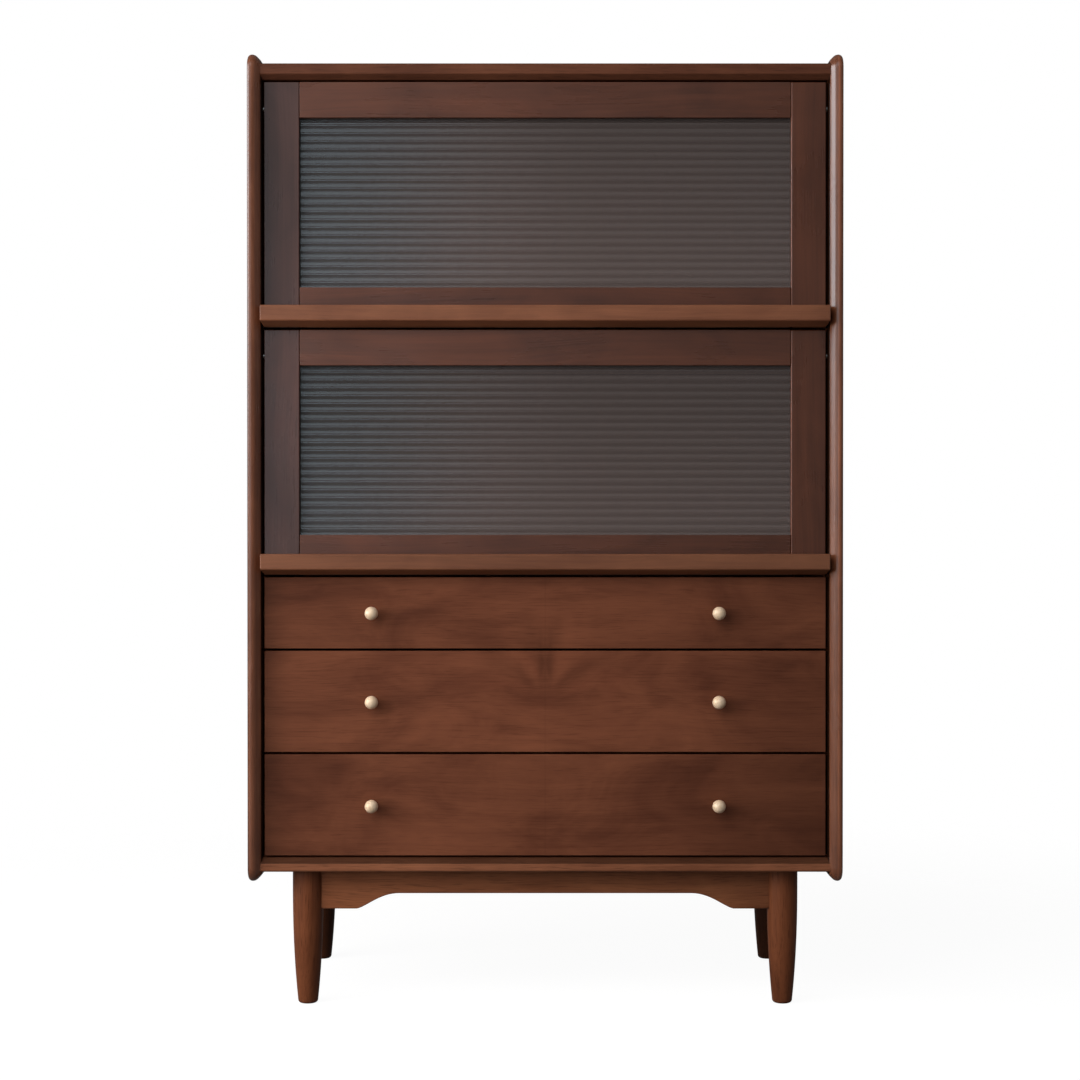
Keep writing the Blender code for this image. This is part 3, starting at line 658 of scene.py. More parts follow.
# The left stiles' walnut is a greyer, bluer copy of the frame's: a painted cool sheen
LEFT_STILE_PAINTED_SHEEN_WALNUT = replace(
    FRAME_WALNUT, name="left_stile_walnut", dark=(0.215, 0.145, 0.130), light=(0.345, 0.230, 0.205)
)
PULL_WALNUT = WoodFinish(
    "pull_walnut", "walnut_pull", (0.385, 0.222, 0.146), (0.560, 0.355, 0.246), blotch=1.3, pores=0.2,
    specular=0.40, roughness=0.34,
)
BOX_WOOD = WoodFinish(
    "drawer_box_wood", "drawer_wood", (0.600, 0.450, 0.300), (0.760, 0.620, 0.450), blotch=0.9, pores=0.3,
    specular=0.3, roughness=0.5,
)
BACK_PLY = WoodFinish(
    "back_plywood", "plywood", (0.400, 0.270, 0.190), (0.560, 0.410, 0.300), blotch=1.4, pores=0.4,
    specular=0.2, roughness=0.6,
)
# The second colour is the glass's painted cool reflection and shade at its left end
FLUTED_GLASS = GlassFinish("fluted_glass", "fluted_glass", (0.705, 0.630, 0.610), (0.545, 0.540, 0.550))
KNOB_BRASS = MetalFinish(
    "knob_brass", "brass", (0.962, 0.852, 0.732), (0.915, 0.772, 0.60), roughness=0.40, metallic=0.16
)
PIVOT_STEEL = MetalFinish(
    "pivot_steel", "steel", (0.72, 0.72, 0.72), (0.50, 0.49, 0.48), amount=0.6, roughness=0.3
)


# Shapes


def centre_of(node: str) -> Vector:
    """Find the middle of a node's box."""
    low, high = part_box(node)
    return (low + high) / 2.0


def grown(low: Vector, high: Vector, gap: float) -> tuple[Vector, Vector]:
    """Widen a box by a gap on every side."""
    return low - Vector((gap, gap, gap)), high + Vector((gap, gap, gap))


def fade(node: str, axis: int, ends: Span) -> Shade:
    """Return the rule that lets a tone, or painted light and shade, drift evenly along a node.

    Args:
        node: The node.
        axis: 0, 1 or 2.
        ends: The share of the finish's colour at the node's low and high end.

    Returns:
        The rule.
    """
    low, high = (corner[axis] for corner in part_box(node))
    start, end = ends
    return lambda face, place: start + (end - start) * (place[axis] - low) / (high - low)


def rounded_path(
    corners: Sequence[Point], radii: Sequence[float], steps: int = 5, closed: bool = True
) -> list[Point]:
    """Round the corners of a path with arcs.

    Args:
        corners: The path's corners in order.
        radii: The arc's radius at each corner, 0 for a sharp one.
        steps: Segments to an arc.
        closed: Whether the last corner runs on to the first.

    Returns:
        The rounded path.
    """
    count = len(corners)
    path: list[Point] = []
    for index, corner in enumerate(corners):
        radius = radii[index]
        if radius <= 0.0 or (not closed and index in (0, count - 1)):
            path.append(tuple(corner))
            continue
        here = Vector(corner)
        before = (Vector(corners[index - 1]) - here).normalized()
        after = (Vector(corners[(index + 1) % count]) - here).normalized()
        half = before.angle(after) / 2.0
        middle = here + (before + after).normalized() * (radius / math.sin(half))
        first = here + before * (radius / math.tan(half)) - middle
        last = here + after * (radius / math.tan(half)) - middle
        sweep = math.copysign(math.pi - 2.0 * half, first.x * last.y - first.y * last.x)
        for step in range(steps + 1):
            turned = Matrix.Rotation(sweep * step / steps, 2) @ first
            path.append((middle.x + turned.x, middle.y + turned.y))
    return path


def rounded_rectangle(half_width: float, half_height: float, radius: float, steps: int) -> list[Point]:
    """Draw a rectangle about the origin, with that many segments to a round corner."""
    signs = ((1, -1), (1, 1), (-1, 1), (-1, -1))
    return rounded_path([(x * half_width, y * half_height) for x, y in signs], [radius] * 4, steps)


def circle(radius: float, steps: int) -> list[Point]:
    """Draw a circle about the origin."""
    turns = [2.0 * math.pi * step / steps for step in range(steps)]
    return [(radius * math.cos(turn), radius * math.sin(turn)) for turn in turns]


def mesh_from(work: bmesh.types.BMesh, name: str) -> Mesh:
    """Close a bmesh into a named mesh with faces outward.

    Args:
        work: The bmesh, which is freed.
        name: The mesh's name.

    Returns:
        The mesh.
    """
    bmesh.ops.recalc_face_normals(work, faces=work.faces)
    mesh = bpy.data.meshes.new(name)
    work.to_mesh(mesh)
    work.free()
    return mesh


def loft(name: str, rings: Sequence[Sequence[Place]], ends_meet: bool = False) -> Mesh:
    """Skin a row of rings into a closed solid.

    Args:
        name: The mesh's name.
        rings: Rings with the same number of points.
        ends_meet: Whether the last ring joins the first; otherwise both get a cap.

    Returns:
        The mesh.
    """
    work = bmesh.new()
    loops = [[work.verts.new(place) for place in ring] for ring in rings]
    pairs = list(zip(loops, loops[1:]))
    if ends_meet:
        pairs.append((loops[-1], loops[0]))
    else:
        work.faces.new(loops[0])
        work.faces.new(loops[-1])
    for first, second in pairs:
        for index in range(len(first)):
            work.faces.new((first[index - 1], first[index], second[index], second[index - 1]))
    return mesh_from(work, name)


def prism(name: str, outline: Sequence[Point], axis: int, start: float, end: float) -> Mesh:
    """Draw an outline, given on the other two axes in the order XYZ, out along an axis."""
    rings = [[(*point[:axis], level, *point[axis:]) for point in outline] for level in (start, end)]
    return loft(name, rings)


def soften(work: bmesh.types.BMesh, edges: list[bmesh.types.BMEdge], arris: float) -> None:
    """Round some edges of a bmesh to a radius."""
    shape = {"segments": ARRIS_STEPS, "profile": ROUND_PROFILE, "clamp_overlap": True}
    bmesh.ops.bevel(work, geom=edges, offset=arris, affect="EDGES", **shape)


def rounded_block(name: str, low: Sequence[float], high: Sequence[float], arris: float) -> Mesh:
    """Make a block with softened arrises.

    Args:
        name: The mesh's name.
        low: Its lowest corner.
        high: Its highest corner.
        arris: The arrises' radius, 0 for sharp ones.

    Returns:
        The mesh.
    """
    work = bmesh.new()
    bmesh.ops.create_cube(work, size=1.0)
    for vert in work.verts:
        vert.co = Vector(h if c > 0.0 else l for c, l, h in zip(vert.co, low, high))
    if arris > 0.0:
        soften(work, work.edges[:], arris)
    return mesh_from(work, name)


def placed(name: str, data: bpy.types.ID) -> bpy.types.Object:
    """Make an object at the origin and put it in the scene.

    Args:
        name: The object's name.
        data: Its mesh, lamp or camera.

    Returns:
        The object.
    """
    made = bpy.data.objects.new(name, data)
    bpy.context.scene.collection.objects.link(made)
    return made


def evaluated(mesh: Mesh, kind: str, settings: dict, inputs: dict | None = None) -> Mesh:
    """Run a mesh through a modifier and keep the result as a plain mesh.

    Args:
        mesh: The mesh to start from, which is removed.
        kind: The modifier's type.
        settings: Its properties by name.
        inputs: A geometry tree's inputs by the sockets' identifiers.

    Returns:
        The resulting mesh.
    """
    passing = placed(mesh.name, mesh)
    modifier = passing.modifiers.new(kind.lower(), kind)
    for key, value in settings.items():
        setattr(modifier, key, value)
    for key, value in (inputs or {}).items():
        modifier[key] = value
    graph = bpy.context.evaluated_depsgraph_get()
    graph.update()
    result = bpy.data.meshes.new_from_object(passing.evaluated_get(graph), depsgraph=graph)
    result.name = mesh.name
    bpy.data.objects.remove(passing)
    bpy.data.meshes.remove(mesh)
    return result


def carved(mesh: Mesh, cutters: Iterable[Mesh]) -> Mesh:
    """Cut shapes out of a solid.

    Args:
        mesh: The solid.
        cutters: The shapes to cut away, clear of one another.

    Returns:
        The cut solid.
    """
    work = bmesh.new()
    for cutter in cutters:
        work.from_mesh(cutter)
        bpy.data.meshes.remove(cutter)
    tool = placed("cutter", mesh_from(work, "cutter"))
    result = evaluated(mesh, "BOOLEAN", {"operation": "DIFFERENCE", "solver": "EXACT", "object": tool})
    shape = tool.data
    bpy.data.objects.remove(tool)
    bpy.data.meshes.remove(shape)
    return result


def smoothed(mesh: Mesh) -> Mesh:
    """Shade a mesh smooth over its arrises and true over its flats.

    Args:
        mesh: The mesh.

    Returns:
        The mesh with weighted normals.
    """
    mesh.shade_smooth()
    mesh.set_sharp_from_angle(angle=SHARP_ANGLE)
    return evaluated(mesh, "WEIGHTED_NORMAL", {"weight": FLAT_WEIGHT, "keep_sharp": True})


# Geometry Nodes


def grow(name: str, tree: bpy.types.NodeTree, sizes: dict[str, object]) -> Mesh:
    """Run a geometry tree with its sizes and keep the result as a plain mesh.

    Args:
        name: The mesh's name.
        tree: The geometry tree.
        sizes: Values by the tree's input names.

    Returns:
        The mesh.
    """
    sockets = [item for item in tree.interface.items_tree if item.item_type == "SOCKET"]
    inputs = {item.identifier: sizes[item.name] for item in sockets if item.in_out == "INPUT"}
    return evaluated(bpy.data.meshes.new(name), "NODES", {"node_group": tree}, inputs)


def open_tree(name: str, numbers: Iterable[str], counts: Iterable[str]) -> tuple[Graph, Outputs, Node]:
    """Start a geometry tree with named sizes, a centre and a material.

    Args:
        name: The tree's name.
        numbers: Names of the inputs that are lengths or other numbers.
        counts: Names of the inputs that are whole numbers.

    Returns:
        The graph, the sockets that its sizes come from, and its output node.
    """
    inputs = dict.fromkeys(numbers, "Float") | dict.fromkeys(counts, "Int")
    inputs |= {"Centre": "Vector", "Material": "Material"}
    return open_group(name, "GeometryNodeTree", inputs, {"Geometry": "Geometry"})


def close_tree(
    graph: Graph, sizes: Outputs, result: Node, shape: Socket, turn: Place = (0.0, 0.0, 0.0)
) -> bpy.types.NodeTree:
    """End a geometry tree: the shape at its centre, as real geometry with its material.

    Args:
        graph: The tree's graph.
        sizes: The sockets of its inputs.
        result: Its output node.
        shape: The geometry to close with.
        turn: How the shape is turned about the axes.

    Returns:
        The tree.
    """
    move = {"Translation": sizes["Centre"], "Rotation": turn}
    moved = graph.add("GeometryNodeTransform", {"Geometry": shape} | move)
    real = graph.add("GeometryNodeRealizeInstances", {"Geometry": moved.outputs[0]})
    inputs = {"Geometry": real.outputs[0], "Material": sizes["Material"]}
    dressed = graph.add("GeometryNodeSetMaterial", inputs)
    graph.wire(result, {"Geometry": dressed.outputs[0]})
    return graph.tree


def fluted_pane_tree() -> bpy.types.NodeTree:
    """Build the pane: a slab whose front face is rolled into flutes that run across it.

    Returns:
        The geometry tree.
    """
    columns = 9
    numbers = ("Width", "Thickness", "Height", "Depth")
    graph, sizes, result = open_tree("fluted_pane", numbers, ("Flutes", "Steps"))
    rows = graph.math("MULTIPLY_ADD", sizes["Flutes"], sizes["Steps"], 1.0)
    size = graph.combine(sizes["Width"], sizes["Thickness"], sizes["Height"])
    counts = {"Vertices X": columns, "Vertices Y": 2, "Vertices Z": rows}
    slab = graph.add("GeometryNodeMeshCube", {"Size": size} | counts)
    _, y, z = graph.spot()
    turn = graph.product(graph.math("DIVIDE", z, sizes["Height"]), sizes["Flutes"])
    turn = graph.product(graph.math("MULTIPLY_ADD", sizes["Flutes"], 0.5, turn), math.pi)
    wave = graph.math("ABSOLUTE", graph.math("SINE", turn))
    sink = graph.product(graph.math("SUBTRACT", 1.0, wave), sizes["Depth"])
    shift = {"Selection": graph.math("LESS_THAN", y, 0.0), "Offset": graph.combine(y=sink)}
    rolled = graph.add("GeometryNodeSetPosition", {"Geometry": slab.outputs[0]} | shift)
    return close_tree(graph, sizes, result, rolled.outputs[0])


def turned_leg_tree() -> bpy.types.NodeTree:
    """Build the leg: a turning that is straight at the top and swells in from a small rounded foot.

    Returns:
        The geometry tree.
    """
    foot_crowding = 2.0
    numbers = ("Height", "Top Radius", "Foot Radius", "Straight", "Power", "Foot Rounding")
    graph, sizes, result = open_tree("turned_leg", numbers, ("Rings", "Facets"))
    height, top, rounding = sizes["Height"], sizes["Top Radius"], sizes["Foot Rounding"]
    ends = {"Start": (0.0, 0.0, 0.0), "End": graph.combine(z=height)}
    line = graph.add("GeometryNodeCurvePrimitiveLine", ends).outputs[0]
    rings = graph.add("GeometryNodeResampleCurve", {"Curve": line, "Count": sizes["Rings"]}).outputs[0]
    share = graph.add("GeometryNodeSplineParameter").outputs["Factor"]
    level = graph.product(graph.math("POWER", share, foot_crowding), height)
    spaced = graph.add("GeometryNodeSetPosition", {"Geometry": rings, "Position": graph.combine(z=level)})
    at = graph.spot()[2]
    taper_top = graph.math("SUBTRACT", height, sizes["Straight"])
    span = graph.math("SUBTRACT", taper_top, rounding)
    left = graph.math("DIVIDE", graph.math("SUBTRACT", taper_top, at), span, clamp=True)
    swell = graph.math("SUBTRACT", top, sizes["Foot Radius"])
    taper = graph.product(swell, graph.math("POWER", left, sizes["Power"]))
    radius = graph.math("SUBTRACT", top, taper)
    drop = graph.math("MAXIMUM", graph.math("SUBTRACT", rounding, at), 0.0)
    square = graph.math("SUBTRACT", graph.product(rounding, rounding), graph.product(drop, drop))
    reach = graph.math("SQRT", graph.math("MAXIMUM", square, 0.0))
    radius = graph.math("SUBTRACT", radius, graph.math("SUBTRACT", rounding, reach))
    ring = graph.add("GeometryNodeCurvePrimitiveCircle", {"Resolution": sizes["Facets"], "Radius": 1.0})
    skin = {"Curve": spaced.outputs[0], "Profile Curve": ring.outputs[0], "Scale": radius}
    turned = graph.add("GeometryNodeCurveToMesh", skin | {"Fill Caps": True})
    return close_tree(graph, sizes, result, turned.outputs[0])


def screw_row_tree() -> bpy.types.NodeTree:
    """Build the back panel's screws: cross-slotted heads set around the panel's edge.

    Returns:
        The geometry tree.
    """
    facets = 20
    edge_share = 0.499
    slot_length = 1.15
    slot_width = 0.26
    slot_lift = 0.55
    upright = (-math.pi / 2.0, 0.0, 0.0)
    numbers = ("Width", "Height", "Head Radius", "Head Height")
    graph, sizes, result = open_tree("screw_row", numbers, ("Columns", "Rows"))
    radius, deep = sizes["Head Radius"], sizes["Head Height"]
    counts = {"Vertices X": sizes["Columns"], "Vertices Y": sizes["Rows"]}
    extent = {"Size X": sizes["Width"], "Size Y": sizes["Height"]}
    grid = graph.add("GeometryNodeMeshGrid", extent | counts)
    place = graph.spot()
    on_edge = []
    for axis, size in enumerate(("Width", "Height")):
        far = graph.math("ABSOLUTE", place[axis])
        on_edge.append(graph.math("GREATER_THAN", far, graph.product(sizes[size], edge_share)))
    rim = {"Mesh": grid.outputs[0], "Selection": graph.math("MAXIMUM", *on_edge)}
    points = graph.add("GeometryNodeMeshToPoints", rim)
    turning = {"Vertices": facets, "Radius": radius, "Depth": deep}
    head = graph.add("GeometryNodeMeshCylinder", turning).outputs[0]
    bar = (graph.product(radius, slot_length), graph.product(radius, slot_width))
    sunk = graph.combine(z=graph.product(deep, slot_lift))
    for x, y in (bar, bar[::-1]):
        block = graph.add("GeometryNodeMeshCube", {"Size": graph.combine(x, y, deep)}).outputs[0]
        slot = graph.add("GeometryNodeTransform", {"Geometry": block, "Translation": sunk}).outputs[0]
        cut = {"Mesh 1": head, "Mesh 2": slot}
        head = graph.add("GeometryNodeMeshBoolean", cut, operation="DIFFERENCE", solver="EXACT").outputs[0]
    spread = graph.add("GeometryNodeInstanceOnPoints", {"Points": points.outputs[0], "Instance": head})
    return close_tree(graph, sizes, result, spread.outputs[0], upright)


# Dressing


class Bench:
    """Holds the finishes, and sets each finished piece on the body of its node."""

    def __init__(self) -> None:
        """Start with the shared effects and no pieces."""
        self.effects = SharedEffects()
        self.materials: dict[str, bpy.types.Material] = {}
        self.pieces: list[bpy.types.Object] = []

    def material(self, finish: Finish) -> bpy.types.Material:
        """Find a finish's material, made on first use.

        Args:
            finish: The finish.

        Returns:
            The material.
        """
        if finish.name not in self.materials:
            self.materials[finish.name] = finish.build(self.effects)
        return self.materials[finish.name]

    def lay_grain(self, mesh: Mesh, seed: str, fibre: Fibre, centred: bool) -> None:
        """Store each vertex's place in its board: along, across and through the fibres.

        Args:
            mesh: The piece's mesh.
            seed: A name that picks which part of the plank the piece was cut from.
            fibre: The fibres' direction.
            centred: Whether the pattern is counted from the middle of the chest, for matched fronts.
        """
        places = np.empty(len(mesh.vertices) * 3, np.float32)
        mesh.vertices.foreach_get("co", places)
        laid = places.reshape(-1, 3)[:, fibre.value]
        pick = random.Random(seed)
        shift = [pick.uniform(-PLANK_REACH, PLANK_REACH) for _ in range(3)]
        if centred:
            shift[0] = 0.0
        laid = laid + np.array(shift, np.float32)
        attribute = mesh.attributes.new(GRAIN, "FLOAT_VECTOR", "POINT")
        attribute.data.foreach_set("vector", np.ascontiguousarray(laid, np.float32).ravel())

    def lay_shade(self, mesh: Mesh, shade: Shade) -> None:
        """Store the share of the finish's colour at each corner of each face: a tone, or painted light and
        shade.

        Args:
            mesh: The piece's mesh.
            shade: One share of the finish's colour, or a rule for a face and a corner's place.
        """
        rule = shade if callable(shade) else lambda face, place: shade
        places = [vert.co for vert in mesh.vertices]
        values = [rule(face, places[index]) for face in mesh.polygons for index in face.vertices]
        mesh.attributes.new(SHADE, "FLOAT", "CORNER").data.foreach_set("value", values)

    def dress(
        self, mesh: Mesh, node: str, finish: Finish, fibre: Fibre = Fibre.X, shade: Shade = 1.0
    ) -> None:
        """Finish a mesh and let it stand for a node.

        Args:
            mesh: The piece's mesh.
            node: The node that it replaces.
            finish: Its finish.
            fibre: Its fibres' direction, for wood.
            shade: The share of the finish's colour, as a tone or as painted light and shade, for wood or
                glass.
        """
        mesh = smoothed(mesh)
        if not isinstance(finish, MetalFinish):
            self.lay_shade(mesh, shade)
        self.attach(mesh, node + "_finished", frame["nodes"][node]["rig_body"], finish, fibre, node)

    def attach(
        self, mesh: Mesh, name: str, body: str, finish: Finish, fibre: Fibre = Fibre.X, node: str = ""
    ) -> None:
        """Set a piece on a body.

        Args:
            mesh: The piece's mesh.
            name: The piece's name.
            body: The body that it rides on.
            finish: Its finish.
            fibre: Its fibres' direction, for wood.
            node: The node that it replaces, if any.
        """
        if isinstance(finish, WoodFinish):
            self.lay_grain(mesh, name, fibre, finish.veneer is not None)
        mesh.materials.clear()
        mesh.materials.append(self.material(finish))
        piece = placed(name, mesh)
        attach(piece, body)
        if node:
            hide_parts(node)
        self.pieces.append(piece)

    def repaint(self, node: str, finish: Finish) -> None:
        """Give a node that stays as it is a better finish.

        Args:
            node: The node.
            finish: The finish.
        """
        kept = frame["nodes"][node]
        kept.data.materials.clear()
        kept.data.materials.append(self.material(finish))
        self.pieces.append(kept)


# Sub-assemblies


@dataclass
class Carcass:
    """Side panels, boards, shelves, back and the drawers' runners."""

    corner_radius: float = 0.020
    least_radius: float = 0.004
    corner_steps: int = 12
    inner_bevel: float = 0.0105
    bevel_run: float = 0.008
    bevel_softness: float = 0.0160
    bevel_shoulder: float = 0.0095
    outer_rounding: float = 0.0055
    outer_run: float = 0.004
    edge_steps: int = 7
    board_bevel: float = 0.007
    board_radii: tuple[float, ...] = (0.0032, 0.0028, 0.0020, 0.0008, 0.0012)
    # Painted shade on the boards' front bevels
    bevel_facing: Span = (-0.2, 0.3)
    top_bevel_dark: float = 0.80
    bottom_bevel_dark: float = 0.30
    # A painted shadow on the panels' inner faces beside the fronts, painted shade on the left panel's
    # outside, and painted light on the right panel's nose and outside
    gap_facing: float = -0.85
    gap_dark: float = 0.08
    left_facing: float = 0.6
    left_dark: float = 0.65
    right_facing: float = -0.2
    right_light: float = 1.52
    arris: float = 0.0012
    gap: float = 0.0003
    groove_roundness: float = 0.999
    groove_steps: int = 10
    groove_mouth: float = 0.004
    back_squeeze: float = 0.0004
    back_arris: float = 0.0006
    screw_inset: float = 0.012
    screw_columns: int = 5
    screw_rows: int = 7
    screw_radius: float = 0.0036
    screw_height: float = 0.0016
    screw_lift: float = 0.0006

    def build(self, bench: Bench) -> None:
        """Build and dress every piece of the carcass.

        Args:
            bench: Takes the finished pieces.
        """
        for side in Side:
            node = f"side_panel_{side.word}"
            bench.dress(self.panel(node, side), node, CARCASS_WALNUT, Fibre.Z, self.gap_shade(side))
        for node, finish in (("top_board", TOP_WALNUT), ("bottom_board", BOTTOM_WALNUT)):
            bench.dress(self.board(node, 0.0), node, finish, Fibre.X, self.bevel_shade(node))
        for node in SHELVES:
            bench.dress(rounded_block(node, *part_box(node), self.arris), node, CARCASS_WALNUT, Fibre.X)
        low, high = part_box("back_panel")
        tight = Vector((self.back_squeeze, 0.0, self.back_squeeze))
        back = rounded_block("back_panel", low - tight, high + tight, self.back_arris)
        bench.dress(back, "back_panel", BACK_PLY, Fibre.Z)
        for drawer in DRAWERS:
            for side in Side:
                node = f"{drawer}_runner_{side.word}"
                bench.dress(rounded_block(node, *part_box(node), self.arris), node, BOX_WOOD, Fibre.Y)
        bench.attach(self.screws(bench), "back_panel_screws", "carcass", PIVOT_STEEL)
        for door in DOORS:
            for side in Side:
                bench.repaint(f"{door}_pivot_{side.word}", PIVOT_STEEL)

    def board(self, node: str, gap: float) -> Mesh:
        """Make the top or bottom board, or the housing it sits in.

        Args:
            node: The board's node.
            gap: How far the outline is widened.

        Returns:
            The board's mesh.
        """
        low, high = grown(*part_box(node), gap)
        outer, inner = (high.z, low.z) if node == "top_board" else (low.z, high.z)
        inward = math.copysign(self.board_bevel, outer - inner)
        corners = [
            (low.y, outer),
            (low.y, inner + inward),
            (low.y + self.board_bevel, inner),
            (high.y, inner),
            (high.y, outer),
        ]
        return prism(node, rounded_path(corners, self.board_radii), 0, low.x, high.x)

    def bevel_shade(self, node: str) -> Shade:
        """Return the rule that paints shade on a board's front bevel.

        Args:
            node: The board's node.

        Returns:
            The rule.
        """
        inward, dark = (-1, self.top_bevel_dark) if node == "top_board" else (1, self.bottom_bevel_dark)
        front, turned = self.bevel_facing
        return lambda face, _: dark if face.normal.y < front and face.normal.z * inward > turned else 1.0

    def gap_shade(self, side: Side) -> Shade:
        """Return the rule for a panel's painted light and shade: a painted shadow beside the fronts,
        painted shade on the left panel's outside and painted light on the right's.

        Args:
            side: Left or right.

        Returns:
            The rule.
        """
        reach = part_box("upper_door_stile_left")[1].y
        outside = side.pick(self.left_dark, self.right_light)
        facing = side.pick(self.left_facing, self.right_facing)

        def rule(face: bpy.types.MeshPolygon, place: Vector) -> float:
            """Judge a face by the way it looks.

            Args:
                face: The face.
                place: A corner's place, which makes no difference here.

            Returns:
                The share of the finish's colour.
            """
            outward = side.value * face.normal.x
            if outward < self.gap_facing and face.center.y < reach:
                return self.gap_dark
            return outside if outward > facing else 1.0

        return rule

    def panel(self, node: str, side: Side) -> Mesh:
        """Make a side panel: bevelled inside, rounded outside, housed for boards and grooved for bars.

        Args:
            node: The panel's node.
            side: Left or right.

        Returns:
            The panel's mesh.
        """
        low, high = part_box(node)
        thickness = high.x - low.x
        inner = side.pick(high.x, low.x)
        middle = centre_of(node)
        half = (high - low) / 2.0
        corners = [
            (0.0, self.inner_bevel + self.bevel_run),
            (0.0, self.inner_bevel),
            (self.inner_bevel, 0.0),
            (thickness, 0.0),
            (thickness, self.outer_rounding + self.outer_run),
        ]
        radii = [0.0, self.bevel_softness, self.bevel_shoulder, self.outer_rounding, 0.0]
        rings = []
        for depth, inset in rounded_path(corners, radii, self.edge_steps, closed=False):
            radius = max(self.corner_radius - inset, self.least_radius)
            outline = rounded_rectangle(half.y - inset, half.z - inset, radius, self.corner_steps)
            rings.append([(inner + side.value * depth, middle.y + y, middle.z + z) for y, z in outline])
        cutters = [self.board(board, self.gap) for board in ("top_board", "bottom_board")]
        for shelf in SHELVES:
            cutters.append(rounded_block(shelf, *grown(*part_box(shelf), self.gap), self.arris))
        cutters += [self.groove(door, side) for door in DOORS]
        return carved(loft(node, rings), cutters)

    def groove(self, door: str, side: Side) -> Mesh:
        """Make the shape of the stopped groove that a door's bar runs in.

        Args:
            door: The door's name.
            side: Left or right.

        Returns:
            The groove's mesh.
        """
        low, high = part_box(f"{door}_pivot_{side.word}")
        travel = next(joint["range_m"][1] for joint in frame["joints"] if joint["name"] == f"{door}_run")
        radius = (high.z - low.z) / 2.0 + self.gap
        centre = (low.z + high.z) / 2.0
        start = low.y - self.gap
        end = high.y + travel + self.gap
        under, over = centre - radius, centre + radius
        corners = [(start, under), (end, under), (end, over), (start, over)]
        outline = rounded_path(corners, [radius * self.groove_roundness] * 4, self.groove_steps)
        far = side.pick(low.x, high.x) + side.value * self.gap
        near = side.pick(high.x, low.x) - side.value * self.groove_mouth
        return prism("groove", outline, 0, min(far, near), max(far, near))

    def screws(self, bench: Bench) -> Mesh:
        """Make the screw heads around the back panel.

        Args:
            bench: Gives the steel's material.

        Returns:
            The screws' mesh.
        """
        low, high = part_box("back_panel")
        middle = centre_of("back_panel")
        sizes = {
            "Width": high.x - low.x - 2.0 * self.screw_inset,
            "Height": high.z - low.z - 2.0 * self.screw_inset,
            "Columns": self.screw_columns,
            "Rows": self.screw_rows,
            "Head Radius": self.screw_radius,
            "Head Height": self.screw_height,
            "Centre": (middle.x, high.y + self.screw_lift, middle.z),
            "Material": bench.material(PIVOT_STEEL),
        }
        return grow("back_panel_screws", screw_row_tree(), sizes)


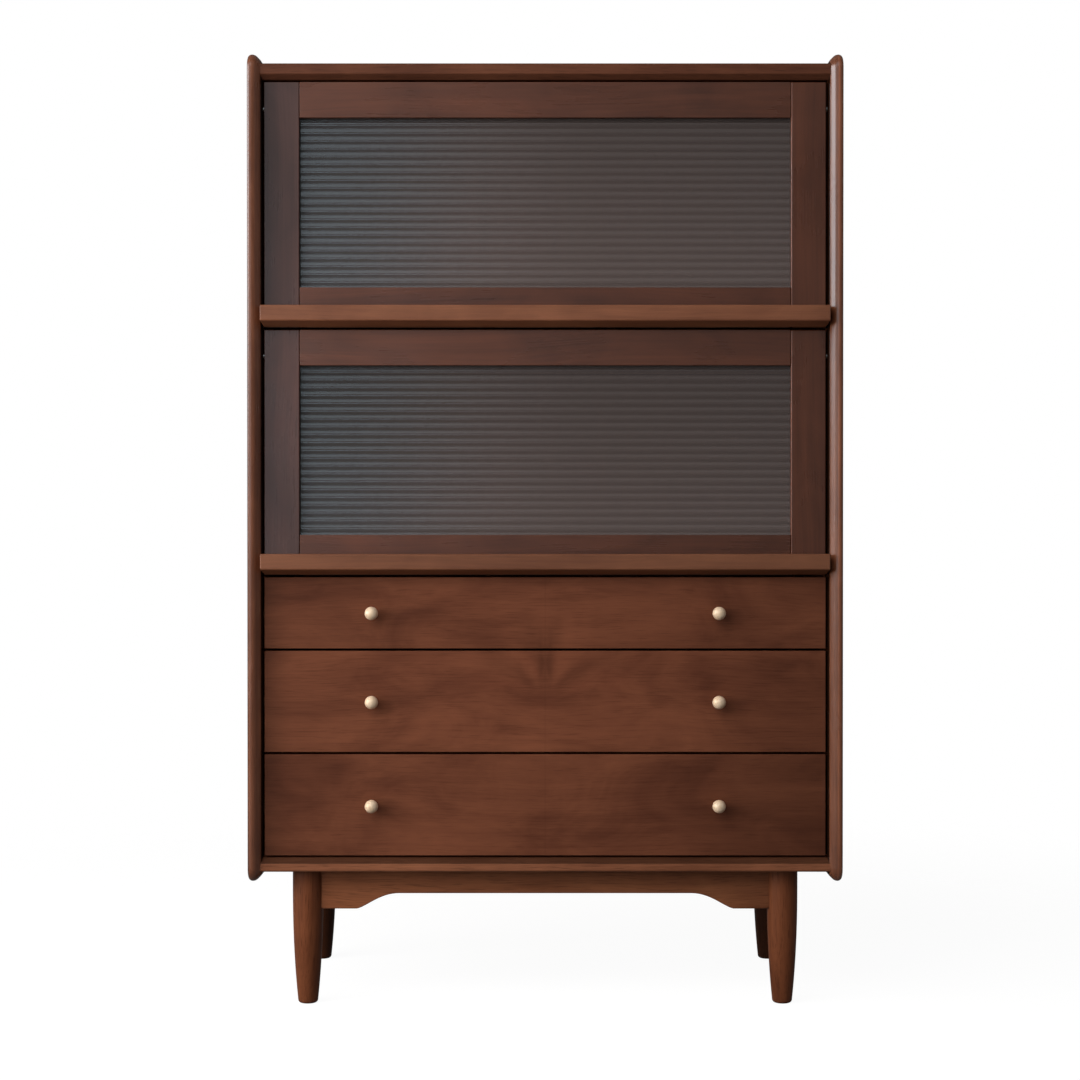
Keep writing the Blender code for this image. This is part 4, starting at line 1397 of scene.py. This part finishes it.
@dataclass
class Base:
    """Turned legs and the aprons between them."""

    top_radius: float = 0.0208
    foot_radius: float = 0.0136
    straight: float = 0.020
    taper_power: float = 2.3
    foot_rounding: float = 0.0045
    leg_rings: int = 64
    leg_facets: int = 64
    # Painted shade on the rear legs
    rear_shade: float = 0.36
    # A painted fall of light along the front apron, lighter at its left end than at its right
    apron_shade: Span = (1.04, 0.74)
    arch_rise: float = 0.021
    arch_half_width: float = 0.1985
    arch_shoulder: float = 0.058
    arch_lean: float = 0.72
    arch_steps: int = 20
    hollow: Span = (0.08, 0.184)
    eased_angle: float = math.radians(60.0)
    arris: float = 0.0015
    gap: float = 0.0003

    def build(self, bench: Bench) -> None:
        """Build and dress the legs and aprons.

        Args:
            bench: Takes the finished pieces.
        """
        tree = turned_leg_tree()
        for node in LEGS:
            centre = centre_of(node)
            sizes = {
                "Height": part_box("bottom_board")[0].z - self.gap,
                "Top Radius": self.top_radius,
                "Foot Radius": self.foot_radius,
                "Straight": self.straight,
                "Power": self.taper_power,
                "Foot Rounding": self.foot_rounding,
                "Rings": self.leg_rings,
                "Facets": self.leg_facets,
                "Centre": (centre.x, centre.y, 0.0),
                "Material": bench.material(LEG_WALNUT),
            }
            shade = self.rear_shade if "rear" in node else 1.0
            bench.dress(grow(node, tree, sizes), node, LEG_WALNUT, Fibre.Z, shade)
        front = "apron_front"
        bench.dress(self.front_apron(front), front, APRON_WALNUT, Fibre.X, fade(front, 0, self.apron_shade))
        for node, fibre in (("apron_rear", Fibre.X), ("apron_left", Fibre.Y), ("apron_right", Fibre.Y)):
            bench.dress(self.plain_apron(node, fibre), node, LEG_WALNUT, fibre)

    def leg_hollows(self) -> list[Mesh]:
        """Make the round shapes that the aprons' ends are hollowed with.

        Returns:
            One mesh for each leg.
        """
        hollows = []
        for node in LEGS:
            centre = centre_of(node)
            ring = circle(self.top_radius + self.gap, self.leg_facets)
            outline = [(centre.x + x, centre.y + y) for x, y in ring]
            hollows.append(prism("hollow", outline, 2, *self.hollow))
        return hollows

    def arch(self, low: Vector, high: Vector) -> list[Point]:
        """Draw the front apron's face: two ears with a shallow arch between them.

        Args:
            low: The apron's lowest corner.
            high: The apron's highest corner.

        Returns:
            The outline, in X and Z.
        """
        lower = []
        for step in range(self.arch_steps + 1):
            share = step / self.arch_steps
            lift = self.arch_rise * (0.5 - 0.5 * math.cos(math.pi * share**self.arch_lean))
            lower.append((-self.arch_half_width - self.arch_shoulder * (1.0 - share), low.z + lift))
        right = [(-x, z) for x, z in reversed(lower)]
        return [(high.x, low.z), (high.x, high.z), (low.x, high.z), (low.x, low.z), *lower, *right]

    def front_apron(self, node: str) -> Mesh:
        """Make the front apron.

        Args:
            node: The apron's node.

        Returns:
            The apron's mesh.
        """
        low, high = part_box(node)
        reach = abs(centre_of("leg_front_left").x)
        low.x, high.x = -reach, reach
        work = bmesh.new()
        work.from_mesh(prism(node, self.arch(low, high), 1, low.y, high.y))
        edges = [edge for edge in work.edges if edge.calc_face_angle(0.0) > self.eased_angle]
        soften(work, edges, self.arris)
        return carved(mesh_from(work, node), self.leg_hollows())

    def plain_apron(self, node: str, fibre: Fibre) -> Mesh:
        """Make a straight apron.

        Args:
            node: The apron's node.
            fibre: The direction it runs in from leg to leg.

        Returns:
            The apron's mesh.
        """
        low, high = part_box(node)
        axis = fibre.value[0]
        legs = [centre_of(leg)[axis] for leg in LEGS]
        low[axis], high[axis] = min(legs), max(legs)
        return carved(rounded_block(node, low, high, self.arris), self.leg_hollows())


@dataclass
class Assembly:
    """A moving part of the chest, whose nodes' names start with its own."""

    name: str

    def node(self, part: str) -> str:
        """Name one of its nodes."""
        return f"{self.name}_{part}"

    def box(self, part: str) -> tuple[Vector, Vector]:
        """Find one of its nodes' lowest and highest corner."""
        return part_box(self.node(part))


@dataclass
class GlazedDoor(Assembly):
    """A framed flap door with a fluted pane, its bead and its pull."""

    # The side panel's painted shadow across the left stile, darkest at its outer edge
    left_stile_shade: Span
    # Painted light along the pulls and rails, falling off toward the right end
    pull_shade: Span
    rail_shade: Span = (1.26, 0.98)
    # Painted shade on the pane, darker toward its top
    pane_shade: Span = (1.0, 0.58)
    arris: float = 0.0014
    joint_arris: float = 0.0008
    # A painted highlight on the right stile's arris by the glass, on faces turned left and forward
    worn_arris: float = 2.4
    worn_facing: float = -0.35
    right_arris: float = 0.0021
    rebate_run: float = 0.004
    bead_arris: float = 0.0006
    bead_rounding: float = 0.0030
    bead_share: float = 0.6
    pull_arris: float = 0.0018
    pull_undercut: float = 0.0075
    pull_splay: float = 0.0035
    gap: float = 0.0003
    flute_pitch: float = 0.0106
    flute_depth: float = 0.0010
    flute_steps: int = 10

    def build(self, bench: Bench) -> None:
        """Build and dress every piece of the door.

        Args:
            bench: Takes the finished pieces.
        """
        left, right = self.node("stile_left"), self.node("stile_right")
        shade = fade(left, 0, self.left_stile_shade)
        bench.dress(self.stile(left, self.arris), left, LEFT_STILE_PAINTED_SHEEN_WALNUT, Fibre.Z, shade)
        bench.dress(self.stile(right, self.right_arris), right, FRAME_WALNUT, Fibre.Z, self.arris_shade)
        for node in (self.node("rail_top"), self.node("rail_bottom")):
            bench.dress(self.rail(node), node, FRAME_WALNUT, Fibre.X, fade(node, 0, self.rail_shade))
        bead, pull, glass = self.node("glazing_bead"), self.node("pull"), self.node("glass")
        bench.dress(self.bead(bead), bead, FRAME_WALNUT, Fibre.X)
        bench.dress(self.pull(pull), pull, PULL_WALNUT, Fibre.X, fade(pull, 0, self.pull_shade))
        bench.dress(self.pane(glass, bench), glass, FLUTED_GLASS, shade=fade(glass, 2, self.pane_shade))

    def arris_shade(self, face: bpy.types.MeshPolygon, place: Vector) -> float:
        """Return the share of a right stile's face colour: a painted highlight on the edge that meets the
        glass.
        """
        return self.worn_arris if max(face.normal.x, face.normal.y) < self.worn_facing else 1.0

    def opening(self) -> tuple[Vector, Vector]:
        """Find the opening between the frame's members.

        Returns:
            Its lowest and highest corner.
        """
        left, right = self.box("stile_left"), self.box("stile_right")
        bottom, top = self.box("rail_bottom"), self.box("rail_top")
        return Vector((left[1].x, left[0].y, bottom[1].z)), Vector((right[0].x, left[1].y, top[0].z))

    def rebate(self) -> Mesh:
        """Make the shape of the rebate that the pane and bead sit in.

        Returns:
            The rebate's mesh.
        """
        low, high = grown(*self.box("glass"), self.gap)
        high.y = self.box("stile_left")[1].y + self.rebate_run
        return rounded_block("rebate", low, high, 0.0)

    def stile(self, node: str, arris: float) -> Mesh:
        """Make a stile, with its arrises' radius."""
        return carved(rounded_block(node, *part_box(node), arris), [self.rebate()])

    def rail(self, node: str) -> Mesh:
        """Make a rail between the stiles.

        Args:
            node: The rail's node.

        Returns:
            The rail's mesh.
        """
        low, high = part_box(node)
        start, end = self.opening()
        low.x, high.x = start.x + self.gap, end.x - self.gap
        return carved(rounded_block(node, low, high, self.joint_arris), [self.rebate()])

    def bead(self, node: str) -> Mesh:
        """Make the glazing bead: a mitred frame with a rounded sight edge.

        Args:
            node: The bead's node.

        Returns:
            The bead's mesh.
        """
        low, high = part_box(node)
        start, end = self.opening()
        middle = centre_of(node)
        outer = (high - low) / 2.0
        inner = (end - start) / 2.0
        wide = min(outer.x - inner.x, outer.z - inner.z)
        deep = high.y - low.y
        sight = min(self.bead_rounding, deep * self.bead_share, wide * self.bead_share)
        corners = [(0.0, 0.0), (wide, 0.0), (wide, deep), (0.0, deep)]
        section = rounded_path(corners, [0.0, self.bead_arris, sight, self.bead_arris])
        signs = ((-1, -1), (1, -1), (1, 1), (-1, 1))
        rings = []
        for inset, depth in section:
            x, y, z = outer.x - inset, low.y + depth, outer.z - inset
            rings.append([(middle.x + right * x, y, middle.z + up * z) for right, up in signs])
        return loft(node, rings, ends_meet=True)

    def pull(self, node: str) -> Mesh:
        """Make the full-width finger pull: splayed ends and a sloping underside.

        Args:
            node: The pull's node.

        Returns:
            The pull's mesh.
        """
        low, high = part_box(node)
        wide, narrow = high.x, high.x - self.pull_splay
        corners = []
        for half, y, under in ((wide, low.y, low.z + self.pull_undercut), (narrow, high.y, low.z)):
            corners += [(-half, y, under), (half, y, under), (half, y, high.z), (-half, y, high.z)]
        work = bmesh.new()
        verts = [work.verts.new(corner) for corner in corners]
        for face in ((0, 1, 2, 3), (5, 4, 7, 6), (4, 0, 3, 7), (1, 5, 6, 2), (3, 2, 6, 7), (4, 5, 1, 0)):
            work.faces.new([verts[index] for index in face])
        soften(work, work.edges[:], self.pull_arris)
        return mesh_from(work, node)

    def pane(self, node: str, bench: Bench) -> Mesh:
        """Make the fluted pane.

        Args:
            node: The pane's node.
            bench: Gives the glass's material.

        Returns:
            The pane's mesh.
        """
        low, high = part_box(node)
        size = high - low
        sizes = {
            "Width": size.x,
            "Thickness": size.y,
            "Height": size.z,
            "Flutes": round(size.z / self.flute_pitch),
            "Steps": self.flute_steps,
            "Depth": self.flute_depth,
            "Centre": tuple(centre_of(node)),
            "Material": bench.material(FLUTED_GLASS),
        }
        return grow(node, fluted_pane_tree(), sizes)


@dataclass
class Drawer(Assembly):
    """A drawer: its front, box and two knobs."""

    front_shade: Span
    veneer: WoodFinish = FRONT_WALNUT
    front_arris: float = 0.0012
    box_arris: float = 0.0008
    bottom_arris: float = 0.0004
    gap: float = 0.0003
    runner_gap: float = 0.0005
    runner_runs: Span = (0.002, 0.01)
    bore_run: float = 0.005
    bore_facets: int = 16
    ball_radius: float = 0.0089
    ball_steps: int = 28
    ball_tip: float = 0.03
    base_radius: float = 0.0065
    base_height: float = 0.002
    neck_radius: float = 0.0042
    screw_radius: float = 0.002
    screw_head_radius: float = 0.0045
    screw_tip: float = 0.0004
    knob_radii: tuple[float, ...] = (0.0, 0.0012, 0.0, 0.0, 0.0, 0.0, 0.0006, 0.0010, 0.0)
    knob_steps: int = 4
    knob_facets: int = 48

    def build(self, bench: Bench) -> None:
        """Build and dress every piece of the drawer.

        Args:
            bench: Takes the finished pieces.
        """
        front, back, bottom = self.node("front"), self.node("back"), self.node("bottom")
        bench.dress(self.front(front), front, self.veneer, Fibre.X, fade(front, 0, self.front_shade))
        for side in Side:
            node = self.node(f"side_{side.word}")
            bench.dress(self.box_side(node, side), node, BOX_WOOD, Fibre.Y)
            knob = self.node(f"knob_{side.word}")
            bench.dress(self.knob(knob), knob, KNOB_BRASS)
        board = rounded_block(back, *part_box(back), self.box_arris)
        bench.dress(carved(board, [self.bottom_groove()]), back, BOX_WOOD, Fibre.X)
        bench.dress(rounded_block(bottom, *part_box(bottom), self.bottom_arris), bottom, BACK_PLY, Fibre.X)

    def bottom_groove(self) -> Mesh:
        """Make the shape of the groove that the bottom is held in."""
        return rounded_block("groove", *grown(*self.box("bottom"), self.gap), 0.0)

    def front(self, node: str) -> Mesh:
        """Make the front, bored for the knobs' screws and grooved for the bottom.

        Args:
            node: The front's node.

        Returns:
            The front's mesh.
        """
        low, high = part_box(node)
        cutters = [self.bottom_groove()]
        for side in Side:
            centre = centre_of(self.node(f"knob_{side.word}"))
            ring = circle(self.screw_radius + self.gap, self.bore_facets)
            bore = [(centre.x + x, centre.z + z) for x, z in ring]
            cutters.append(prism("bore", bore, 1, low.y - self.bore_run, high.y + self.bore_run))
        return carved(rounded_block(node, low, high, self.front_arris), cutters)

    def box_side(self, node: str, side: Side) -> Mesh:
        """Make a side of the box, grooved for its runner and for the bottom.

        Args:
            node: The side's node.
            side: Left or right.

        Returns:
            The side's mesh.
        """
        low, high = grown(*self.box(f"runner_{side.word}"), self.runner_gap)
        before, behind = self.runner_runs
        low.y, high.y = low.y - before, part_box(node)[1].y + behind
        runner = rounded_block("runner", low, high, 0.0)
        return carved(rounded_block(node, *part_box(node), self.box_arris), [self.bottom_groove(), runner])

    def knob(self, node: str) -> Mesh:
        """Turn a knob with its base, neck and ball, and the screw that holds it.

        Args:
            node: The knob's node.

        Returns:
            The knob's mesh.
        """
        low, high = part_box(node)
        centre = centre_of(node)
        face = self.box("front")[0].y - self.gap
        inside = self.box("front")[1].y + self.gap
        ball = low.y + self.ball_radius
        neck = ball + math.sqrt(self.ball_radius**2 - self.neck_radius**2)
        corners = [
            (self.screw_tip, high.y),
            (self.screw_head_radius, high.y),
            (self.screw_head_radius, inside),
            (self.screw_radius, inside),
            (self.screw_radius, face),
            (self.base_radius, face),
            (self.base_radius, face - self.base_height),
            (self.neck_radius, face - self.base_height),
            (self.neck_radius, neck),
        ]
        profile = rounded_path(corners, self.knob_radii, self.knob_steps, closed=False)
        start = math.asin(self.neck_radius / self.ball_radius)
        for step in range(1, self.ball_steps + 1):
            turn = start + (math.pi - self.ball_tip - start) * step / self.ball_steps
            profile.append((self.ball_radius * math.sin(turn), ball + self.ball_radius * math.cos(turn)))
        rings = []
        for radius, y in profile:
            rings.append([(centre.x + x, y, centre.z + z) for x, z in circle(radius, self.knob_facets)])
        return loft(node, rings)


# Stage


@dataclass(frozen=True)
class Softbox:
    """A soft studio lamp that neither the camera nor the polish shows."""

    name: str
    place: Place
    target: Place
    width: float
    height: float
    watts: float
    colour: Colour = (1.0, 1.0, 1.0)

    def build(self) -> None:
        """Hang the lamp."""
        data = bpy.data.lights.new(self.name, "AREA")
        data.shape = "RECTANGLE"
        data.size = self.width
        data.size_y = self.height
        data.energy = self.watts
        data.color = self.colour
        lamp = placed(self.name, data)
        lamp.location = self.place
        toward = Vector(self.target) - Vector(self.place)
        lamp.rotation_euler = toward.to_track_quat("-Z", "Y").to_euler()
        lamp.visible_camera = False
        lamp.visible_glossy = False
        lamp.visible_transmission = False


def ray_kinds(graph: Graph) -> tuple[Socket, Socket]:
    """Tell whether the camera sees a point, and whether gloss or glass shows it."""
    path = graph.add("ShaderNodeLightPath").outputs
    return path["Is Camera Ray"], graph.math("MAXIMUM", path["Is Glossy Ray"], path["Is Transmission Ray"])


@dataclass(frozen=True)
class Surroundings:
    """The world: white to the camera, soft windows in the polish, and a level light on the wood."""

    ambient: float = 0.42
    front_glow: float = 0.14
    window_glow: float = 1.40
    side_glow: float = 8.0
    backdrop_glow: float = 0.16
    least_depth: float = 0.05
    window_left: Span = (0.04, -0.13)
    low_window: tuple[Span, Span] = ((-0.05, 0.0), (0.17, 0.09))
    low_strength: Span = (1.316, 0.084)
    low_coolness: float = 1.4
    high_window: tuple[Span, Span] = ((0.31, 0.35), (1.60, 1.00))
    high_strength: Span = (0.80, 0.20)
    side_window: tuple[Span, Span] = ((0.05, 0.13), (0.60, 0.35))
    side_edge: Span = (-0.86, -0.96)
    cool_tint: Paint = (0.72, 0.89, 1.0, 1.0)
    front_fall: Fall = (0.15, 0.75, 1.0, 0.25)
    behind: Span = (-0.05, 0.25)
    backdrop_rise: Span = (-0.12, 0.10)
    backdrop_foot: float = 0.25
    level_fall: Fall = (0.12, 0.75, 1.0, 0.18)
    facing: Fall = (0.35, -0.35, 0.5, 1.0)

    def build(self, scene: bpy.types.Scene) -> None:
        """Give the scene its world.

        Args:
            scene: The scene.
        """
        scene.world = bpy.data.worlds.new("studio")
        scene.world.use_nodes = True
        graph = Graph(scene.world.node_tree)
        seen, mirrored = ray_kinds(graph)
        toward = graph.split(graph.add("ShaderNodeTexCoord").outputs["Generated"])
        polish, cool = self.reflection(graph, *toward)
        level = graph.ramp(graph.math("ABSOLUTE", toward[2]), *self.level_fall)
        fill = graph.product(level, graph.ramp(toward[1], *self.facing), self.ambient)
        strength = graph.choose(seen, graph.choose(mirrored, fill, polish), 1.0)
        tint = graph.blend(graph.product(cool, mirrored), WHITE, self.cool_tint)
        light = graph.add("ShaderNodeBackground", {"Color": tint, "Strength": strength})
        graph.add("ShaderNodeOutputWorld", {"Surface": light.outputs[0]})

    def reflection(self, graph: Graph, x: Socket, y: Socket, z: Socket) -> tuple[Socket, Socket]:
        """Draw what gloss and glass show: two windows in front, one at the left, and a dim backdrop.

        Args:
            graph: The world's graph.
            x: The direction's part to the right.
            y: Its part to the back.
            z: Its part upward.

        Returns:
            The strength, and the share of the cool tint.
        """
        away = graph.math("MAXIMUM", graph.product(y, -1.0), self.least_depth)
        rise = graph.math("DIVIDE", z, away)
        left = graph.ramp(graph.math("DIVIDE", x, away), *self.window_left)
        low = graph.band(rise, *self.low_window)
        high = graph.band(rise, *self.high_window)
        low_pane = graph.product(low, graph.math("MULTIPLY_ADD", left, *self.low_strength))
        high_pane = graph.product(high, graph.math("MULTIPLY_ADD", left, *self.high_strength))
        panes = graph.math("ADD", low_pane, high_pane)
        glow = graph.product(graph.ramp(x, *self.front_fall), self.front_glow)
        front = graph.math("MULTIPLY_ADD", panes, self.window_glow, glow)
        foot = self.backdrop_foot * self.backdrop_glow
        backdrop = graph.ramp(z, *self.backdrop_rise, foot, self.backdrop_glow)
        polish = graph.choose(graph.ramp(y, *self.behind), front, backdrop)
        side_pane = graph.product(graph.band(z, *self.side_window), graph.ramp(x, *self.side_edge))
        polish = graph.math("MULTIPLY_ADD", side_pane, self.side_glow, polish)
        return polish, graph.product(left, graph.math("MULTIPLY_ADD", low, self.low_coolness, high))


@dataclass
class Studio:
    """Camera, lamps, surroundings and floor."""

    lens: float = 71.3
    sensor: float = 36.0
    camera_place: Place = (-0.0070, -3.0606, 0.6531)
    pitch: float = 0.433
    floor_size: float = 30.0
    floor_glow: float = 0.95
    floor_polish: float = 0.08
    floor_clouds: Place = (3.0, 3.0, 3.0)
    floor_paint: Span = (0.10, 0.14)
    floor_paper: float = 0.12
    floor_fade: Span = (0.7, 1.9)
    lamps: tuple[Softbox, ...] = (
        Softbox("key", (-1.80, -1.50, 1.65), (-0.1, -0.19, 0.70), 2.4, 2.4, 51.0, (1.0, 0.98, 0.95)),
        Softbox("low_left", (-1.90, -1.00, 0.60), (-0.1, -0.19, 0.50), 1.4, 1.2, 16.0, (1.0, 0.97, 0.93)),
        Softbox("front_high", (-0.60, -2.20, 2.20), (0.0, -0.19, 0.70), 1.0, 1.0, 15.0),
    )

    def build(self) -> None:
        """Set up the stage and its view settings."""
        scene = bpy.context.scene
        scene.view_settings.view_transform = "Standard"
        self.build_camera(scene)
        Surroundings().build(scene)
        self.build_floor()
        for lamp in self.lamps:
            lamp.build()

    def build_camera(self, scene: bpy.types.Scene) -> None:
        """Set the camera at the photograph's angle.

        Args:
            scene: The scene that takes the camera.
        """
        data = bpy.data.cameras.new("camera")
        data.sensor_width = self.sensor
        data.lens = self.lens
        scene.camera = placed("camera", data)
        scene.camera.location = self.camera_place
        scene.camera.rotation_euler = (math.radians(90.0 - self.pitch), 0.0, 0.0)

    def floor_material(self) -> bpy.types.Material:
        """Make the floor's paint: white where it is seen, with the chest's shadow on it.

        Returns:
            The material.
        """
        material, graph = fresh_material("pale_floor")
        camera, mirrored = ray_kinds(graph)
        place = graph.place()
        dim = graph.product(mirrored, self.floor_glow - self.floor_polish)
        glow = graph.add("ShaderNodeEmission", {"Strength": graph.math("SUBTRACT", self.floor_glow, dim)})
        cloud = graph.noise(place, self.floor_clouds, detail=4.0)
        paint = graph.blend(cloud, *(grey(level) for level in self.floor_paint))
        matt = graph.add("ShaderNodeBsdfDiffuse", {"Color": paint})
        paper = graph.add("ShaderNodeBsdfDiffuse", {"Color": grey(self.floor_paper)})
        white = graph.add("ShaderNodeAddShader", {0: glow.outputs[0], 1: paper.outputs[0]})
        reach = graph.add("ShaderNodeVectorMath", {0: place}, operation="LENGTH").outputs["Value"]
        faded = graph.product(graph.ramp(reach, *self.floor_fade), camera)
        clear = graph.add("ShaderNodeBsdfTransparent")
        paler = graph.add("ShaderNodeMixShader", {0: faded, 1: white.outputs[0], 2: clear.outputs[0]})
        seen = graph.math("MAXIMUM", camera, mirrored)
        mixed = graph.add("ShaderNodeMixShader", {0: seen, 1: matt.outputs[0], 2: paler.outputs[0]})
        graph.add("ShaderNodeOutputMaterial", {"Surface": mixed.outputs[0]})
        return material

    def build_floor(self) -> None:
        """Lay the pale floor."""
        half = self.floor_size / 2.0
        corners = [(-half, -half, 0.0), (half, -half, 0.0), (half, half, 0.0), (-half, half, 0.0)]
        mesh = bpy.data.meshes.new("floor")
        mesh.from_pydata(corners, [], [(0, 1, 2, 3)])
        mesh.materials.append(self.floor_material())
        floor = placed("floor", mesh)


def main() -> None:
    """Build the chest piece by piece, then its stage."""
    logging.basicConfig(level=logging.INFO, format="%(name)s: %(message)s")
    bench = Bench()
    Carcass().build(bench)
    Base().build(bench)
    GlazedDoor("upper_door", left_stile_shade=(0.33, 0.95), pull_shade=(1.02, 1.02)).build(bench)
    GlazedDoor("lower_door", left_stile_shade=(0.70, 1.15), pull_shade=(0.92, 0.76)).build(bench)
    Drawer("drawer_top", front_shade=(0.98, 0.93), veneer=TOP_FRONT_WALNUT).build(bench)
    Drawer("drawer_middle", front_shade=(1.20, 1.06)).build(bench)
    Drawer("drawer_bottom", front_shade=(1.17, 0.88)).build(bench)
    Studio().build()
    for piece in bench.pieces:
        LOG.info("%s on %s, %d faces", piece.name, piece["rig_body"], len(piece.data.polygons))


if __name__ == "__main__":
    main()
